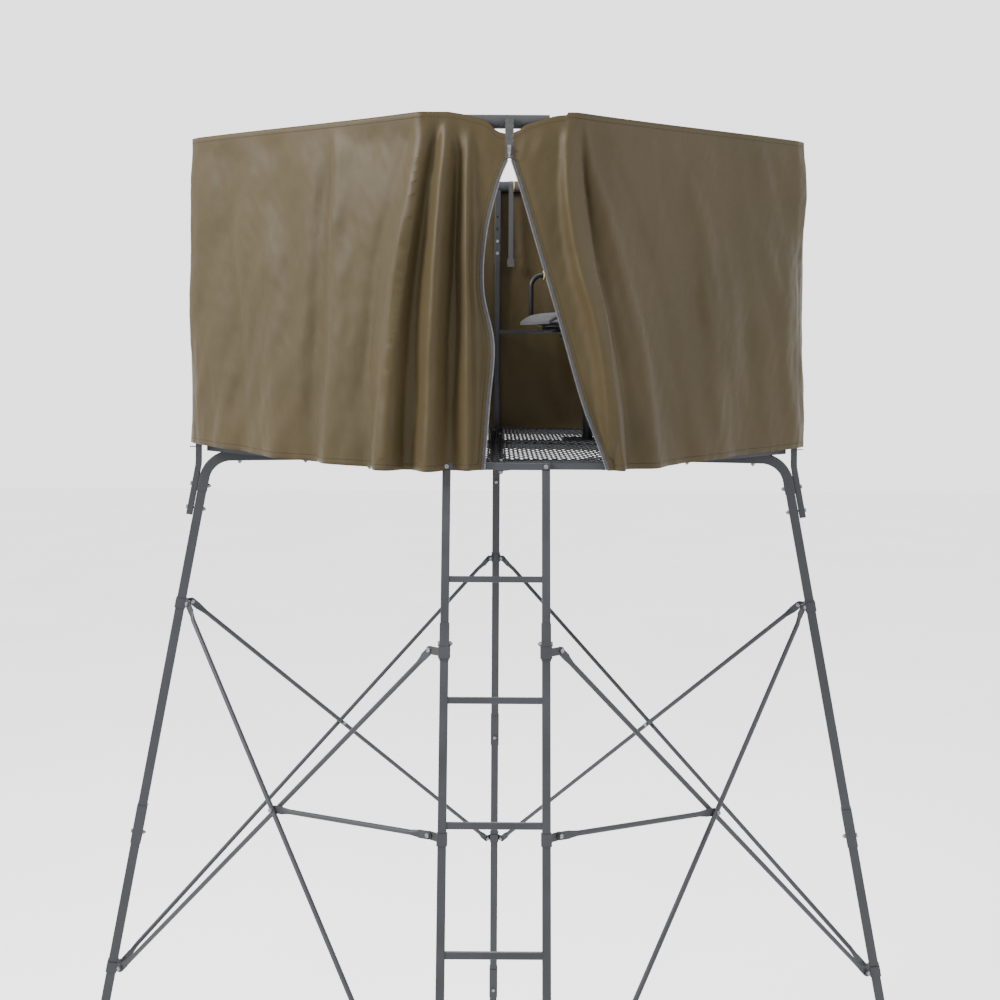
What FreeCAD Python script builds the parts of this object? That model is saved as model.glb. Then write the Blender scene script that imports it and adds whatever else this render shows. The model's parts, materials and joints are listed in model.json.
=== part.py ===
import FreeCAD, Part
import math
import os

# Tripod hunting stand: a mesh deck on three splayed legs and a ladder, a padded
# rail around it, a fabric skirt with a zipped door, and two swivel seats.
# Millimetres, +Z up, the ladder side faces -Y, the ground is Z = 0.

V = FreeCAD.Vector
UP = V(0, 0, 1)

# ---- deck and heights ------------------------------------------------------------
DECK_HEIGHT = 3658.0          # top of the deck mesh above the ground
MESH_THICKNESS = 3.0
DECK_TUBE = 22.0
DECK_WALL = 1.5
DECK_FRONT_HALF = 330.0       # half width of the deck's front edge
DECK_CORNER = (1033.0, 615.0)
DECK_REAR_HALF = 380.0
DECK_DEPTH = 1552.0
HALVES_GAP = 0.6              # between the two deck halves
SPINE_BOLTS = (320.0, 1020.0, 1460.0)  # bolts through both halves, from the front
ARM_BOLTS = (920.0, 690.0)    # across from the centre, into the side brackets
REAR_ARM_BOLTS = (1170.0, 1400.0)  # from the front, into the rear bracket
LADDER_BOLT_X = 152.0
STAY = 5.0
STAY_WIDTH = 25.0

# ---- legs ------------------------------------------------------------------------
LEG = 31.8
LEG_WALL = 1.6
SIDE_LEG_TOP = (1020.0, 619.0)
SIDE_LEG_SPLAY = 0.179        # outward run for each unit of drop
SIDE_LEG_HEADING = -10.0      # degrees from straight sideways, towards the ladder
REAR_LEG_TOP = 1533.0
REAR_LEG_SPLAY = 0.110
ARM_TUBE = 35.4
ARM_WALL = 1.6
ARM_BEND = 95.0
ARM_LENGTH = 430.0
ARM_DROP = 167.0              # bracket's lower end below the deck
LEG_ENTRY = 124.0             # leg's upper end below the deck
LEG_JOINTS = (1340.0, 2520.0)  # drops of the two sleeve joints
LEG_SLEEVE_WALL = 2.0
LEG_SLEEVE = 132.0
FOOT_PLATE = 130.0
FOOT_THICKNESS = 6.0
FOOT_SOCKET = 70.0
STAKE_SPACING = 96.0
STAKE_HOLE_R = 6.5

# ---- ladder ----------------------------------------------------------------------
STILE_SPACING = 305.0
STILE = 25.4
STILE_WALL = 1.5
RUNG = 19.0
RUNG_WALL = 1.4
LADDER_TILT = 0.179           # forward run for each unit of drop
RUNG_DROP_FIRST = 350.0
RUNG_RISE = 348.4
RUNG_COUNT = 10
LADDER_JOINTS = (531.0, 1576.0, 2621.0)
LADDER_SLEEVE = 110.0
LADDER_SLEEVE_WALL = 1.8
LADDER_BOLT = 6.0             # bolt's drop below each joint
LADDER_CAP = 3.0              # wall of the rubber end caps
LADDER_CAP_HEIGHT = 45.0

# ---- braces ----------------------------------------------------------------------
BRACE_R = 8.0
TANG_WIDTH = 24.0
TANG = 4.0                    # thickness of tangs and of the ears between them
TANG_LENGTH = 34.0
TANG_TAPER = 34.0
LEG_UPPER_CLAMP = 564.0       # drops of the clamps
LEG_LOWER_CLAMP = 1836.0
LADDER_UPPER_CLAMP = 562.0
LADDER_TIE_CLAMP = 1084.0
LADDER_LOWER_CLAMP = 1970.0
CLAMP_HEIGHT = 34.0
CLAMP_WALL = 3.0
LEG_EAR = 42.0                # bolt's reach from the leg's axis
LADDER_EAR = 50.0
FIT = 0.2                     # clearance of a tube in its sleeve, each side

# ---- posts, rail and gate --------------------------------------------------------
POST = 22.0
POST_WALL = 1.5
POST_BEND_DROP = 70.0         # where a post turns to follow its leg, below the deck
POST_SLEEVE_WALL = 2.0
SLIDE_CLEAR = 0.08            # between a post and the sleeve that slides on it
POST_BEND = 120.0
POST_FOOT_DROP = 250.0        # lower end of a side post below the deck
POST_TOP = 830.0              # above the deck
SLEEVE_BOTTOM = 717.0
SLEEVE_HOLES = (754.0, 806.5, 859.0, 911.5)
FRONT_POST_X = 370.0
FRONT_POST_PLATE = (90.0, 44.0, 5.0)
RAIL_HEIGHT = 1045.0          # rail's centre above the deck
RAIL_R = 12.7
RAIL_WALL = 1.6
RAIL_BEND = 60.0
RAIL_FRONT_HALF = 226.0
RAIL_REAR_HALF = 360.0
FOAM_R = 21.5
FOAM_GAP = 1.0                # foam's clearance around a post sleeve
MID_RAIL_HEIGHT = 415.0
MID_RAIL_R = 7.0
GATE_R = 9.5
GATE_WALL = 1.5
GATE_PIVOT = 179.0            # pivot's distance from the centre
GATE_SETBACK = 20.0           # from the pivot to the rail's end, clear of the turning bar's corner
GATE_FOAM_HALF = 158.0
GATE_CLEAR = 0.4
HINGE_PLATE = 4.0
PIN_CLEAR = 0.08

# ---- bolts -----------------------------------------------------------------------
BOLT_R = 4.0
BOLT_HOLE_CLEAR = 0.3
HEAD_ACROSS = 13.0
HEAD_HEIGHT = 5.3
NUT_HEIGHT = 6.5
BOLT_TAIL = 4.0               # thread that stands past the nut

# ---- seats -----------------------------------------------------------------------
SEAT_X = 345.0
SEAT_Y = 900.0
SEAT_TURN = {"right": -75.0, "left": 0.0}  # heading at rest, 0 faces the ladder
SEAT_HALF = 205.0             # side rail's distance from the pedestal
SEAT_FRONT = 205.0
SEAT_BACK = 195.0
SEAT_TOP = 440.0              # side rails' centre above the deck
SEAT_TUBE_R = 9.5
SEAT_TUBE_WALL = 1.5
ARM_TOP = 632.0
ARM_FRONT = 165.0
ARM_BEND_R = 45.0
BACK_TOP = 800.0
ARM_JOINT = 20.0              # arm's straight end in front of the back's foot
SEAT_BAR = 110.0              # cross bars' distance from the pedestal
SEAT_PLATE = 5.0
SEAT_PLATE_WIDTH = 120.0
SEAT_PLATE_LIP = 12.0         # plate beyond each cross bar's centre
SPIGOT_LENGTH = 110.0
SLING = 4.0
PAD_R = 15.0
PEDESTAL_R = 19.0
PEDESTAL_WALL = 2.0
PEDESTAL_PLATE = 180.0

# ---- skirt and its trim ----------------------------------------------------------
SKIRT = 2.0
SKIRT_OFFSET = 32.0           # outer face's distance from the rail's centre line
SKIRT_TOP = 1067.0            # above the deck
SKIRT_HEM = -22.0
SKIRT_CORNER = 1095.0         # outer face at the side corners
ZIP_X = 34.0
DOOR_TOP = 927.0
DOOR_LEFT = -30.0
TAPE_WIDTH = 12.0
TAPE = 1.6
SLIDER_HEIGHT = 955.0
PULL_PIN_R = 1.2
SLIDER_CLEAR = 0.4
TIE_R = 2.0
TIE_HEIGHT = -10.0            # from the deck
STRAP_X = 57.0
STRAP_WIDTH = 20.0
STRAP = 2.0
STRAP_LENGTH = 345.0

FRAME_TOP = DECK_HEIGHT - MESH_THICKNESS
FRAME_BOTTOM = FRAME_TOP - DECK_TUBE
ARM_Z = FRAME_BOTTOM - ARM_TUBE / 2

PARTS = {}


def put(name, *solids):
    """Adds solids to a node."""
    PARTS.setdefault(name, []).extend(solids)


def unit(v):
    v = V(v)
    v.normalize()
    return v


def across(direction, axis):
    """The part of a direction square to an axis, as a unit vector."""
    return unit(direction - axis * direction.dot(axis))


def mirrored(shape):
    return shape.mirror(V(0, 0, 0), V(1, 0, 0))


def rounded_wire(centre, s, t, wide, deep, r):
    """A rectangle with round corners, wide along s and deep along t."""
    def at(a, b):
        return centre + s * a + t * b
    w, d, k = wide / 2, deep / 2, r * (1 - math.sqrt(0.5))
    edges = []
    for sx, sy, turn in ((1, 1, 0), (-1, 1, 1), (-1, -1, 0), (1, -1, 1)):
        start, end = at(sx * w, sy * (d - r)), at(sx * (w - r), sy * d)
        middle = at(sx * (w - k), sy * (d - k))
        if turn:
            start, end = end, start
        edges.append(Part.Arc(start, middle, end).toShape())
    corners = [e.Vertexes for e in edges]
    for i in range(4):
        a, b = corners[i][-1].Point, corners[(i + 1) % 4][0].Point
        edges.append(Part.makeLine(a, b))
    return Part.Wire(Part.__sortEdges__(edges))


def square_face(centre, axis, side, wide, deep, wall, r=2.5):
    """The cross-section of a square tube, or of a bar when wall is 0."""
    s = across(side, axis)
    t = axis.cross(s)
    outer = rounded_wire(centre, s, t, wide, deep, r)
    if not wall:
        return Part.Face(outer)
    inner = rounded_wire(centre, s, t, wide - 2 * wall, deep - 2 * wall, max(r - wall, 0.6))
    return Part.makeFace([outer, inner], "Part::FaceMakerBullseye")


def beam(p, q, wide, deep, wall, side, r=2.5):
    """A straight square tube from p to q."""
    return square_face(p, unit(q - p), side, wide, deep, wall, r).extrude(q - p)


def box_along(p, q, wide, deep, side):
    """A plain bar with sharp edges, used for plates and for cuts."""
    axis = unit(q - p)
    s = across(side, axis) * (wide / 2)
    t = axis.cross(unit(s)) * (deep / 2)
    ring = [p + s + t, p - s + t, p - s - t, p + s - t, p + s + t]
    return Part.Face(Part.makePolygon(ring)).extrude(q - p)


def rod(p, q, r, wall=0.0):
    """A straight round tube or rod from p to q."""
    axis = q - p
    solid = Part.makeCylinder(r, axis.Length, p, axis)
    if wall:
        solid = solid.cut(Part.makeCylinder(r - wall, axis.Length, p, axis))
    return solid


def bent(points, radius, face_at):
    """A tube along straight runs joined by arcs: face_at(centre, axis) gives its section."""
    pieces = []
    start = points[0]
    for before, corner, after in zip(points, points[1:], points[2:]):
        a, b = unit(corner - before), unit(after - corner)
        turn = a.getAngle(b)
        reach = radius * math.tan(turn / 2)
        enter, leave = corner - a * reach, corner + b * reach
        pieces.append(face_at(start, a).extrude(enter - start))
        spin = unit(a.cross(b))
        centre = enter + unit(spin.cross(a)) * radius
        pieces.append(face_at(enter, a).revolve(centre, spin, math.degrees(turn)))
        start = leave
    pieces.append(face_at(start, unit(points[-1] - points[-2])).extrude(points[-1] - start))
    return pieces[0].multiFuse(pieces[1:]).removeSplitter()


def round_bent(points, radius, r, wall=0.0):
    """A bent round tube or rod."""
    def face_at(centre, axis):
        outer = Part.Wire(Part.makeCircle(r, centre, axis))
        if not wall:
            return Part.Face(outer)
        inner = Part.Wire(Part.makeCircle(r - wall, centre, axis))
        return Part.makeFace([outer, inner], "Part::FaceMakerBullseye")
    return bent(points, radius, face_at)


def square_bent(points, radius, size, wall, side):
    """A bent square tube whose faces stay square to side."""
    return bent(points, radius, lambda c, a: square_face(c, a, side, size, size, wall))


def hexagon(centre, axis, across_flats, height):
    side = across(V(1, 0.13, 0.29), axis)
    other = axis.cross(side)
    r = across_flats / math.sqrt(3)
    ring = [centre + side * (r * math.cos(math.radians(60 * i)))
            + other * (r * math.sin(math.radians(60 * i))) for i in range(7)]
    return Part.Face(Part.makePolygon(ring)).extrude(axis * height)


def bolt(group, centre, axis, grip, through):
    """A bolt and nut clamped over a grip centred on a point, with holes in the nodes it passes."""
    axis = unit(axis)
    under_head, under_nut = centre - axis * (grip / 2), centre + axis * (grip / 2)
    end = under_nut + axis * (NUT_HEIGHT + BOLT_TAIL)
    shank = rod(under_head, end, BOLT_R)
    head = hexagon(under_head - axis * HEAD_HEIGHT, axis, HEAD_ACROSS, HEAD_HEIGHT)
    nut = hexagon(under_nut, axis, HEAD_ACROSS, NUT_HEIGHT)
    nut = nut.cut(rod(under_nut - axis, end + axis, BOLT_R + PIN_CLEAR))
    put(group, head.fuse(shank).removeSplitter(), nut)
    hole = rod(under_head - axis * 2, under_nut + axis * 2, BOLT_R + BOLT_HOLE_CLEAR)
    for name in through:
        PARTS[name] = [s.cut(hole) if s.distToShape(hole)[0] < 0.001 else s for s in PARTS[name]]


def polygon_inset(points, distance):
    """The outline moved inwards by a distance, for a convex outline taken anticlockwise."""
    moved = []
    count = len(points)
    for i in range(count):
        before, here, after = points[i - 1], points[i], points[(i + 1) % count]
        a, b = unit(here - before), unit(after - here)
        na, nb = V(-a.y, a.x, 0), V(-b.y, b.x, 0)
        moved.append(here + (na + nb) * (distance / (1 + na.dot(nb))))
    return moved


def slab(points, z, height):
    """A flat plate with the given outline."""
    ring = [V(p.x, p.y, z) for p in points]
    return Part.Face(Part.makePolygon(ring + ring[:1])).extrude(V(0, 0, height))


# ---- deck --------------------------------------------------------------------------
DECK_OUTLINE = [V(HALVES_GAP / 2, 0, 0), V(DECK_FRONT_HALF, 0, 0), V(*DECK_CORNER, 0),
                V(DECK_REAR_HALF, DECK_DEPTH, 0), V(HALVES_GAP / 2, DECK_DEPTH, 0)]


def deck_bar(outer_a, outer_b, inner_b, inner_a):
    """One mitred square tube of the deck's edge."""
    solid = slab([outer_a, outer_b, inner_b, inner_a], FRAME_BOTTOM, DECK_TUBE)
    run = unit(outer_b - outer_a)
    level = V(0, 0, FRAME_BOTTOM + DECK_TUBE / 2)
    inward = V(-run.y, run.x, 0) * (DECK_TUBE / 2)
    p, q = outer_a + inward + level - run * DECK_TUBE, outer_b + inward + level + run * DECK_TUBE
    bore = DECK_TUBE - 2 * DECK_WALL
    return solid.cut(box_along(p, q, bore, bore, UP))


def deck_half_frame():
    """The welded frame of the right half: five edge tubes and three cross tubes."""
    inner = polygon_inset(DECK_OUTLINE, DECK_TUBE)
    count = len(DECK_OUTLINE)
    bars = [deck_bar(DECK_OUTLINE[i], DECK_OUTLINE[(i + 1) % count], inner[(i + 1) % count], inner[i])
            for i in range(count)]
    field = slab(inner, FRAME_BOTTOM - 1, DECK_TUBE + 2)
    z = FRAME_BOTTOM + DECK_TUBE / 2
    far = DECK_CORNER[0] + DECK_TUBE
    for near_y, far_y in ((front_post_y(), front_post_y()), (SEAT_Y, SEAT_Y),
                          (arm_beam_y(0), arm_beam_y(far))):
        bar = beam(V(0, near_y, z), V(far, far_y, z), DECK_TUBE, DECK_TUBE, DECK_WALL, UP, 2.0)
        bars.append(bar.common(field))
    return bars


def arm_beam_y(x):
    """The Y of the cross tube that lies over a side leg's arm."""
    return SIDE_LEG_TOP[1] - (SIDE_LEG_TOP[0] - x) * math.tan(math.radians(SIDE_LEG_HEADING))


def front_post_y():
    """The front posts stand under the rail's front side."""
    start, corner = rail_corners()[1:3]
    return start.y + (FRONT_POST_X - start.x) * (corner.y - start.y) / (corner.x - start.x)


def post_centres():
    """The foot of each upright post in plan: right side, rear, right front."""
    side_r = post_reach(SIDE_LEG_SPLAY)
    heading = math.radians(SIDE_LEG_HEADING)
    side = V(SIDE_LEG_TOP[0] + side_r * math.cos(heading),
             SIDE_LEG_TOP[1] + side_r * math.sin(heading), 0)
    rear = V(0, REAR_LEG_TOP + post_reach(REAR_LEG_SPLAY), 0)
    return side, rear, V(FRONT_POST_X, front_post_y(), 0)


def post_reach(splay):
    """How far the upright part of a post stands outside the leg's axis at deck level."""
    lean = math.sqrt(1 + splay ** 2)
    return (ARM_TUBE + POST) / 2 * lean + splay * POST_BEND_DROP



# ---- legs --------------------------------------------------------------------------
def leg_frame(name):
    """The leg's top at deck level, its outward heading and its splay."""
    if name == "rear":
        return V(0, REAR_LEG_TOP, DECK_HEIGHT), V(0, 1, 0), REAR_LEG_SPLAY
    turn = math.radians(SIDE_LEG_HEADING)
    return V(*SIDE_LEG_TOP, DECK_HEIGHT), V(math.cos(turn), math.sin(turn), 0), SIDE_LEG_SPLAY


def leg_point(name, drop, out=0.0):
    """A point on a leg's axis, or outside it, at a drop below the deck."""
    top, outward, splay = leg_frame(name)
    return top + outward * (splay * drop + out) - UP * drop


def with_sleeve(tube, end, up, side, size, wall, length):
    """Adds the sleeve at a tube's lower end: its upper half is welded on, the rest is a socket."""
    outer = size + 2 * (wall + FIT)
    grip = beam(end, end + up * (length / 2), outer, outer, wall + FIT + 0.4, side)
    socket = beam(end - up * (length / 2), end, outer, outer, wall, side)
    return tube.multiFuse([grip, socket]).removeSplitter()


def leg_section(name, start_drop, end_drop, sleeved):
    """One straight length of leg, with the sleeve at its lower end."""
    p, q = leg_point(name, start_drop), leg_point(name, end_drop)
    outward = leg_frame(name)[1]
    solid = beam(p, q, LEG, LEG, LEG_WALL, outward)
    if sleeved:
        solid = with_sleeve(solid, q, unit(p - q), outward, LEG, LEG_SLEEVE_WALL, LEG_SLEEVE)
    return solid


def build_leg(name):
    """Bracket, three lengths and the foot of one leg."""
    _, outward, _ = leg_frame(name)
    corner_drop = DECK_HEIGHT - ARM_Z
    path = [leg_point(name, ARM_DROP), leg_point(name, corner_drop),
            leg_point(name, corner_drop) - outward * ARM_LENGTH]
    normal = outward.cross(UP)
    bracket = square_bent(path, ARM_BEND, ARM_TUBE, ARM_WALL, normal)
    drops = (LEG_ENTRY,) + LEG_JOINTS + (DECK_HEIGHT + LEG,)
    lengths = [leg_section(name, drops[i], drops[i + 1], i < 2) for i in range(3)]
    ground = Part.makeBox(8000, 8000, 1000, V(-4000, -4000, FOOT_THICKNESS - 1000))
    lengths[2] = lengths[2].cut(ground)
    base = leg_point(name, DECK_HEIGHT)
    plate = slab([base + V(sx * FOOT_PLATE / 2, sy * FOOT_PLATE / 2, 0)
                  for sx, sy in ((-1, -1), (1, -1), (1, 1), (-1, 1))], 0, FOOT_THICKNESS)
    socket_size = LEG + 2 * (FIT + LEG_SLEEVE_WALL)
    socket = beam(leg_point(name, DECK_HEIGHT + LEG), leg_point(name, DECK_HEIGHT - FOOT_SOCKET),
                  socket_size, socket_size, LEG_SLEEVE_WALL, outward).cut(ground)
    line = V(1, 0, 0) if name == "rear" else V(0, 1, 0)
    for side in (-1, 1):
        hole = base + line * (side * STAKE_SPACING / 2)
        plate = plate.cut(rod(hole - UP, hole + UP * (FOOT_THICKNESS + 1), STAKE_HOLE_R))
    return bracket, lengths, plate.fuse(socket).removeSplitter()


def post_path(name):
    """The bent post outside a leg: up along the leg, then upright."""
    gap = (ARM_TUBE + POST) / 2 * math.sqrt(1 + leg_frame(name)[2] ** 2)
    bend = leg_point(name, POST_BEND_DROP, gap)
    return [leg_point(name, POST_FOOT_DROP, gap), bend, V(bend.x, bend.y, DECK_HEIGHT + POST_TOP)]


def build_post(name):
    return square_bent(post_path(name), POST_BEND, POST, POST_WALL, leg_frame(name)[1].cross(UP))


# ---- ladder ------------------------------------------------------------------------
LADDER_TOP_Y = -DECK_TUBE / 2


def ladder_point(x, drop):
    """A point on the plane of the ladder at a drop below the deck."""
    lead = drop - (DECK_HEIGHT - FRAME_BOTTOM)
    return V(x, LADDER_TOP_Y - LADDER_TILT * lead, DECK_HEIGHT - drop)


def stile(side, start_drop, end_drop, sleeved):
    x = side * STILE_SPACING / 2
    p, q = ladder_point(x, start_drop), ladder_point(x, end_drop)
    solid = beam(p, q, STILE, STILE, STILE_WALL, V(1, 0, 0))
    if sleeved:
        solid = with_sleeve(solid, q, unit(p - q), V(1, 0, 0), STILE, LADDER_SLEEVE_WALL,
                            LADDER_SLEEVE)
    return solid


def rung(drop):
    half = (STILE_SPACING - STILE) / 2
    lean = ladder_point(0, drop) - ladder_point(0, drop + 1)
    return beam(ladder_point(-half, drop), ladder_point(half, drop), RUNG, RUNG, RUNG_WALL, lean)


def build_ladder():
    """Four ladder lengths: the short top one carries the bar that bolts to the deck."""
    names = ("ladder_top_section", "ladder_upper_section", "ladder_middle_section",
             "ladder_lower_section")
    top_drop = DECK_HEIGHT - FRAME_BOTTOM
    drops = (top_drop,) + LADDER_JOINTS + (DECK_HEIGHT + STILE,)
    rungs = [RUNG_DROP_FIRST + i * RUNG_RISE for i in range(RUNG_COUNT)]
    above = Part.makeBox(1000, 1000, 200, V(-500, -500, FRAME_BOTTOM))
    ground = Part.makeBox(4000, 8000, 1000, V(-2000, -4000, LADDER_CAP - 1000))
    for i, name in enumerate(names):
        start = drops[i] - (STILE if i == 0 else 0)
        for side in (-1, 1):
            solid = stile(side, start, drops[i + 1], i < 3)
            if i == 0:
                solid = solid.cut(above)
            if i == 3:
                solid = solid.cut(ground)
            put(name, solid)
        for drop in rungs:
            if drops[i] < drop < drops[i + 1]:
                put(name, rung(drop))
    bar_z = FRAME_BOTTOM + DECK_TUBE / 2
    half = (STILE_SPACING + STILE) / 2
    put("ladder_top_section", beam(V(-half, LADDER_TOP_Y, bar_z), V(half, LADDER_TOP_Y, bar_z),
                                   DECK_TUBE, DECK_TUBE, DECK_WALL, UP))
    floor = Part.makeBox(4000, 8000, 1000, V(-2000, -4000, -1000))
    cap_size = STILE + 2 * (LADDER_CAP + FIT)
    for side in (-1, 1):
        x = side * STILE_SPACING / 2
        low = ladder_point(x, DECK_HEIGHT + 2 * STILE)
        high = ladder_point(x, DECK_HEIGHT - LADDER_CAP_HEIGHT)
        above_cap = ladder_point(x, DECK_HEIGHT - LADDER_CAP_HEIGHT - 1)
        cap = beam(low, high, cap_size, cap_size, 0, V(1, 0, 0)).cut(floor)
        room = box_along(low, above_cap, STILE + 2 * FIT, STILE + 2 * FIT, V(1, 0, 0)).cut(ground)
        put("ladder_feet", cap.cut(room))


# ---- braces ------------------------------------------------------------------------
def clamp(centre, axis, side, size, ears):
    """A collar around a tube; each ear is a bolt point, the way back to the tube and a normal."""
    half = axis * (CLAMP_HEIGHT / 2)
    outer = size + 2 * (CLAMP_WALL + FIT)
    solid = beam(centre - half, centre + half, outer, outer, CLAMP_WALL, side)
    core = box_along(centre - axis * 200, centre + axis * 200, outer - 1, outer - 1, side)
    for target, back, normal in ears:
        ear = box_along(target, target + back * LADDER_EAR, TANG, TANG_WIDTH, normal)
        tip = rod(target - normal * (TANG / 2), target + normal * (TANG / 2), TANG_WIDTH / 2)
        far = box_along(centre - back * -18, centre + back * 200, 400, 400, UP)
        solid = solid.fuse(ear.fuse(tip).cut(core).cut(far))
    return solid.removeSplitter()


def oval(centre, wide, high, sides=24):
    """A closed ring of straight sides on an ellipse."""
    turns = [2 * math.pi * (i + 0.5) / sides for i in range(sides)]
    ring = [centre + wide * math.cos(t) + high * math.sin(t) for t in turns]
    return Part.makePolygon(ring + ring[:1])


def brace(p, q, normal, offset):
    """A round tube whose flattened ends bolt at p and q; the tube's axis stands off by offset."""
    run = unit(q - p)
    shift = normal * offset
    flat_shift = normal * (offset - math.copysign(BRACE_R - TANG / 2, offset)) if offset else V(0, 0, 0)
    reach = TANG_LENGTH + TANG_TAPER
    a, b = p + run * reach + shift, q - run * reach + shift
    pieces = [rod(a, b, BRACE_R)]
    for bolt_at, tube_end, way in ((p, a, run), (q, b, run * -1)):
        centre = bolt_at + flat_shift
        plate_end = centre + way * TANG_LENGTH
        plate = box_along(centre, plate_end + way * 2, TANG, TANG_WIDTH, normal)
        tip = rod(centre - normal * (TANG / 2), centre + normal * (TANG / 2), TANG_WIDTH / 2)
        wide = across(way.cross(normal), way)
        rings = [oval(plate_end, wide * (TANG_WIDTH / 2 - 0.1), normal * (TANG / 2 - 0.1)),
                 oval(tube_end + way * 0.5, wide * (BRACE_R - 0.1), normal * (BRACE_R - 0.1))]
        taper = Part.makeLoft(rings, True, True)
        pieces += [plate.fuse(tip), taper]
    return pieces[0].multiFuse(pieces[1:])


def brace_side(leg, other, other_reach):
    """The plane between a leg and its neighbour, and the four bolt points of its crossed braces."""
    middle = (other[0] + other[1]) * 0.5
    normal = unit((leg[1] - leg[0]).cross(middle - leg[0]))
    along = unit(normal.cross(UP))
    if along.dot(middle - leg[0]) < 0:
        along = along * -1
    side = {"normal": normal, "along": along}
    side["leg_upper"], side["leg_lower"] = leg[0] + along * LEG_EAR, leg[1] + along * LEG_EAR
    for key, point in (("other_upper", other[0]), ("other_lower", other[1])):
        side[key] = on_plane(point, middle, normal) - along * other_reach
    return side


def on_plane(point, origin, normal):
    return point - normal * normal.dot(point - origin)


def build_braces():
    """The crossed braces between the legs and the ladder, with clamps and bolts."""
    upper, lower = leg_point("side", LEG_UPPER_CLAMP), leg_point("side", LEG_LOWER_CLAMP)
    rear_upper, rear_lower = leg_point("rear", LEG_UPPER_CLAMP), leg_point("rear", LEG_LOWER_CLAMP)
    half = STILE_SPACING / 2
    rung_upper = ladder_point(half, LADDER_UPPER_CLAMP)
    rung_tie = ladder_point(half, LADDER_TIE_CLAMP)
    rung_lower = ladder_point(half, LADDER_LOWER_CLAMP)
    front = brace_side((upper, lower), (rung_upper, rung_lower), LADDER_EAR)
    rear = brace_side((upper, lower), (rear_upper, rear_lower), LEG_EAR)
    n_front, n_rear = front["normal"], rear["normal"]
    stand_off = TANG / 2 + BRACE_R
    put("front_braces_high", brace(front["leg_lower"], front["other_upper"], n_front, stand_off))
    put("front_braces_low", brace(front["leg_upper"], front["other_lower"], n_front, -stand_off))
    put("rear_braces_high", brace(rear["leg_lower"], rear["other_upper"], n_rear, stand_off))
    put("rear_braces_low", brace(rear["leg_upper"], rear["other_lower"], n_rear, -stand_off))

    cross = crossing(front["leg_lower"], front["other_upper"], front["leg_upper"], front["other_lower"])
    rear_cross = crossing(rear["leg_lower"], rear["other_upper"], rear["leg_upper"], rear["other_lower"])
    tie_end = on_plane(rung_tie, front["leg_upper"], n_front) - front["along"] * LADDER_EAR
    put("ladder_ties", brace(cross, tie_end, n_front, 0.0))

    leg_axis, rear_axis = unit(upper - lower), unit(rear_upper - rear_lower)
    ladder_axis = unit(rung_upper - rung_lower)
    outward = leg_frame("side")[1]
    for centre, ends in ((upper, "leg_upper"), (lower, "leg_lower")):
        ears = [(side[ends], side["along"] * -1, side["normal"]) for side in (front, rear)]
        put("brace_clamps", clamp(centre, leg_axis, outward, LEG, ears))
    sleeve = STILE + 2 * (LADDER_SLEEVE_WALL + FIT)
    tie_ear = tie_end + n_front * TANG
    for centre, target, size in ((rung_upper, front["other_upper"], sleeve),
                                 (rung_tie, tie_ear, STILE), (rung_lower, front["other_lower"], STILE)):
        put("brace_clamps", clamp(centre, ladder_axis, V(1, 0, 0), size,
                                  [(target, front["along"], n_front)]))
    pair = 2 * TANG
    joints = ((front["leg_lower"], n_front, 1, "front_braces_high"),
              (front["other_upper"], n_front, 1, "front_braces_high"),
              (front["leg_upper"], n_front, -1, "front_braces_low"),
              (front["other_lower"], n_front, -1, "front_braces_low"),
              (tie_end, n_front, 1, "ladder_ties"),
              (rear["leg_lower"], n_rear, 1, "rear_braces_high"),
              (rear["other_upper"], n_rear, 1, "rear_braces_high"),
              (rear["leg_upper"], n_rear, -1, "rear_braces_low"),
              (rear["other_lower"], n_rear, -1, "rear_braces_low"))
    wide = 4 * BRACE_R + TANG
    bolt("brace_bolts", cross, n_front, wide, ["front_braces_high", "front_braces_low", "ladder_ties"])
    bolt("brace_bolts", rear_cross, n_rear, wide, ["rear_braces_high", "rear_braces_low"])
    for at, normal, way, tube in joints:
        bolt("brace_bolts", at + normal * (way * TANG / 2), normal, pair, ["brace_clamps", tube])
    for name in BRACE_NODES:
        put(name, *[mirrored(s) for s in PARTS[name]])
    for centre, key in ((rear_upper, "other_upper"), (rear_lower, "other_lower")):
        at = rear[key]
        way = 1 if key == "other_upper" else -1
        other, other_normal = V(-at.x, at.y, at.z), V(-n_rear.x, n_rear.y, n_rear.z)
        along = rear["along"]
        ears = [(at, along, n_rear), (other, V(-along.x, along.y, along.z), other_normal)]
        collar = clamp(centre, rear_axis, V(0, 1, 0), LEG, ears)
        for point, normal in ((at, n_rear), (other, other_normal)):
            hole_at = point + normal * (way * TANG / 2)
            collar = collar.cut(rod(hole_at - normal * pair, hole_at + normal * pair,
                                    BOLT_R + BOLT_HOLE_CLEAR))
        put("brace_clamps", collar)


BRACE_NODES = ("front_braces_high", "front_braces_low", "rear_braces_high", "rear_braces_low",
               "ladder_ties", "brace_clamps", "brace_bolts")


def crossing(a, b, c, d):
    """The point where the lines ab and cd meet."""
    u, v, w = b - a, d - c, a - c
    uu, uv, vv, uw, vw = u.dot(u), u.dot(v), v.dot(v), u.dot(w), v.dot(w)
    t = (uv * vw - vv * uw) / (uu * vv - uv * uv)
    return a + u * t


# ---- rail --------------------------------------------------------------------------
def bend_sag(before, corner, after, radius):
    """How far inside its corner a bend passes, as a vector from the bend to the corner."""
    a, b = unit(corner - before), unit(after - corner)
    return unit(a - b) * (radius * (1 / math.cos(a.getAngle(b) / 2) - 1))


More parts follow.
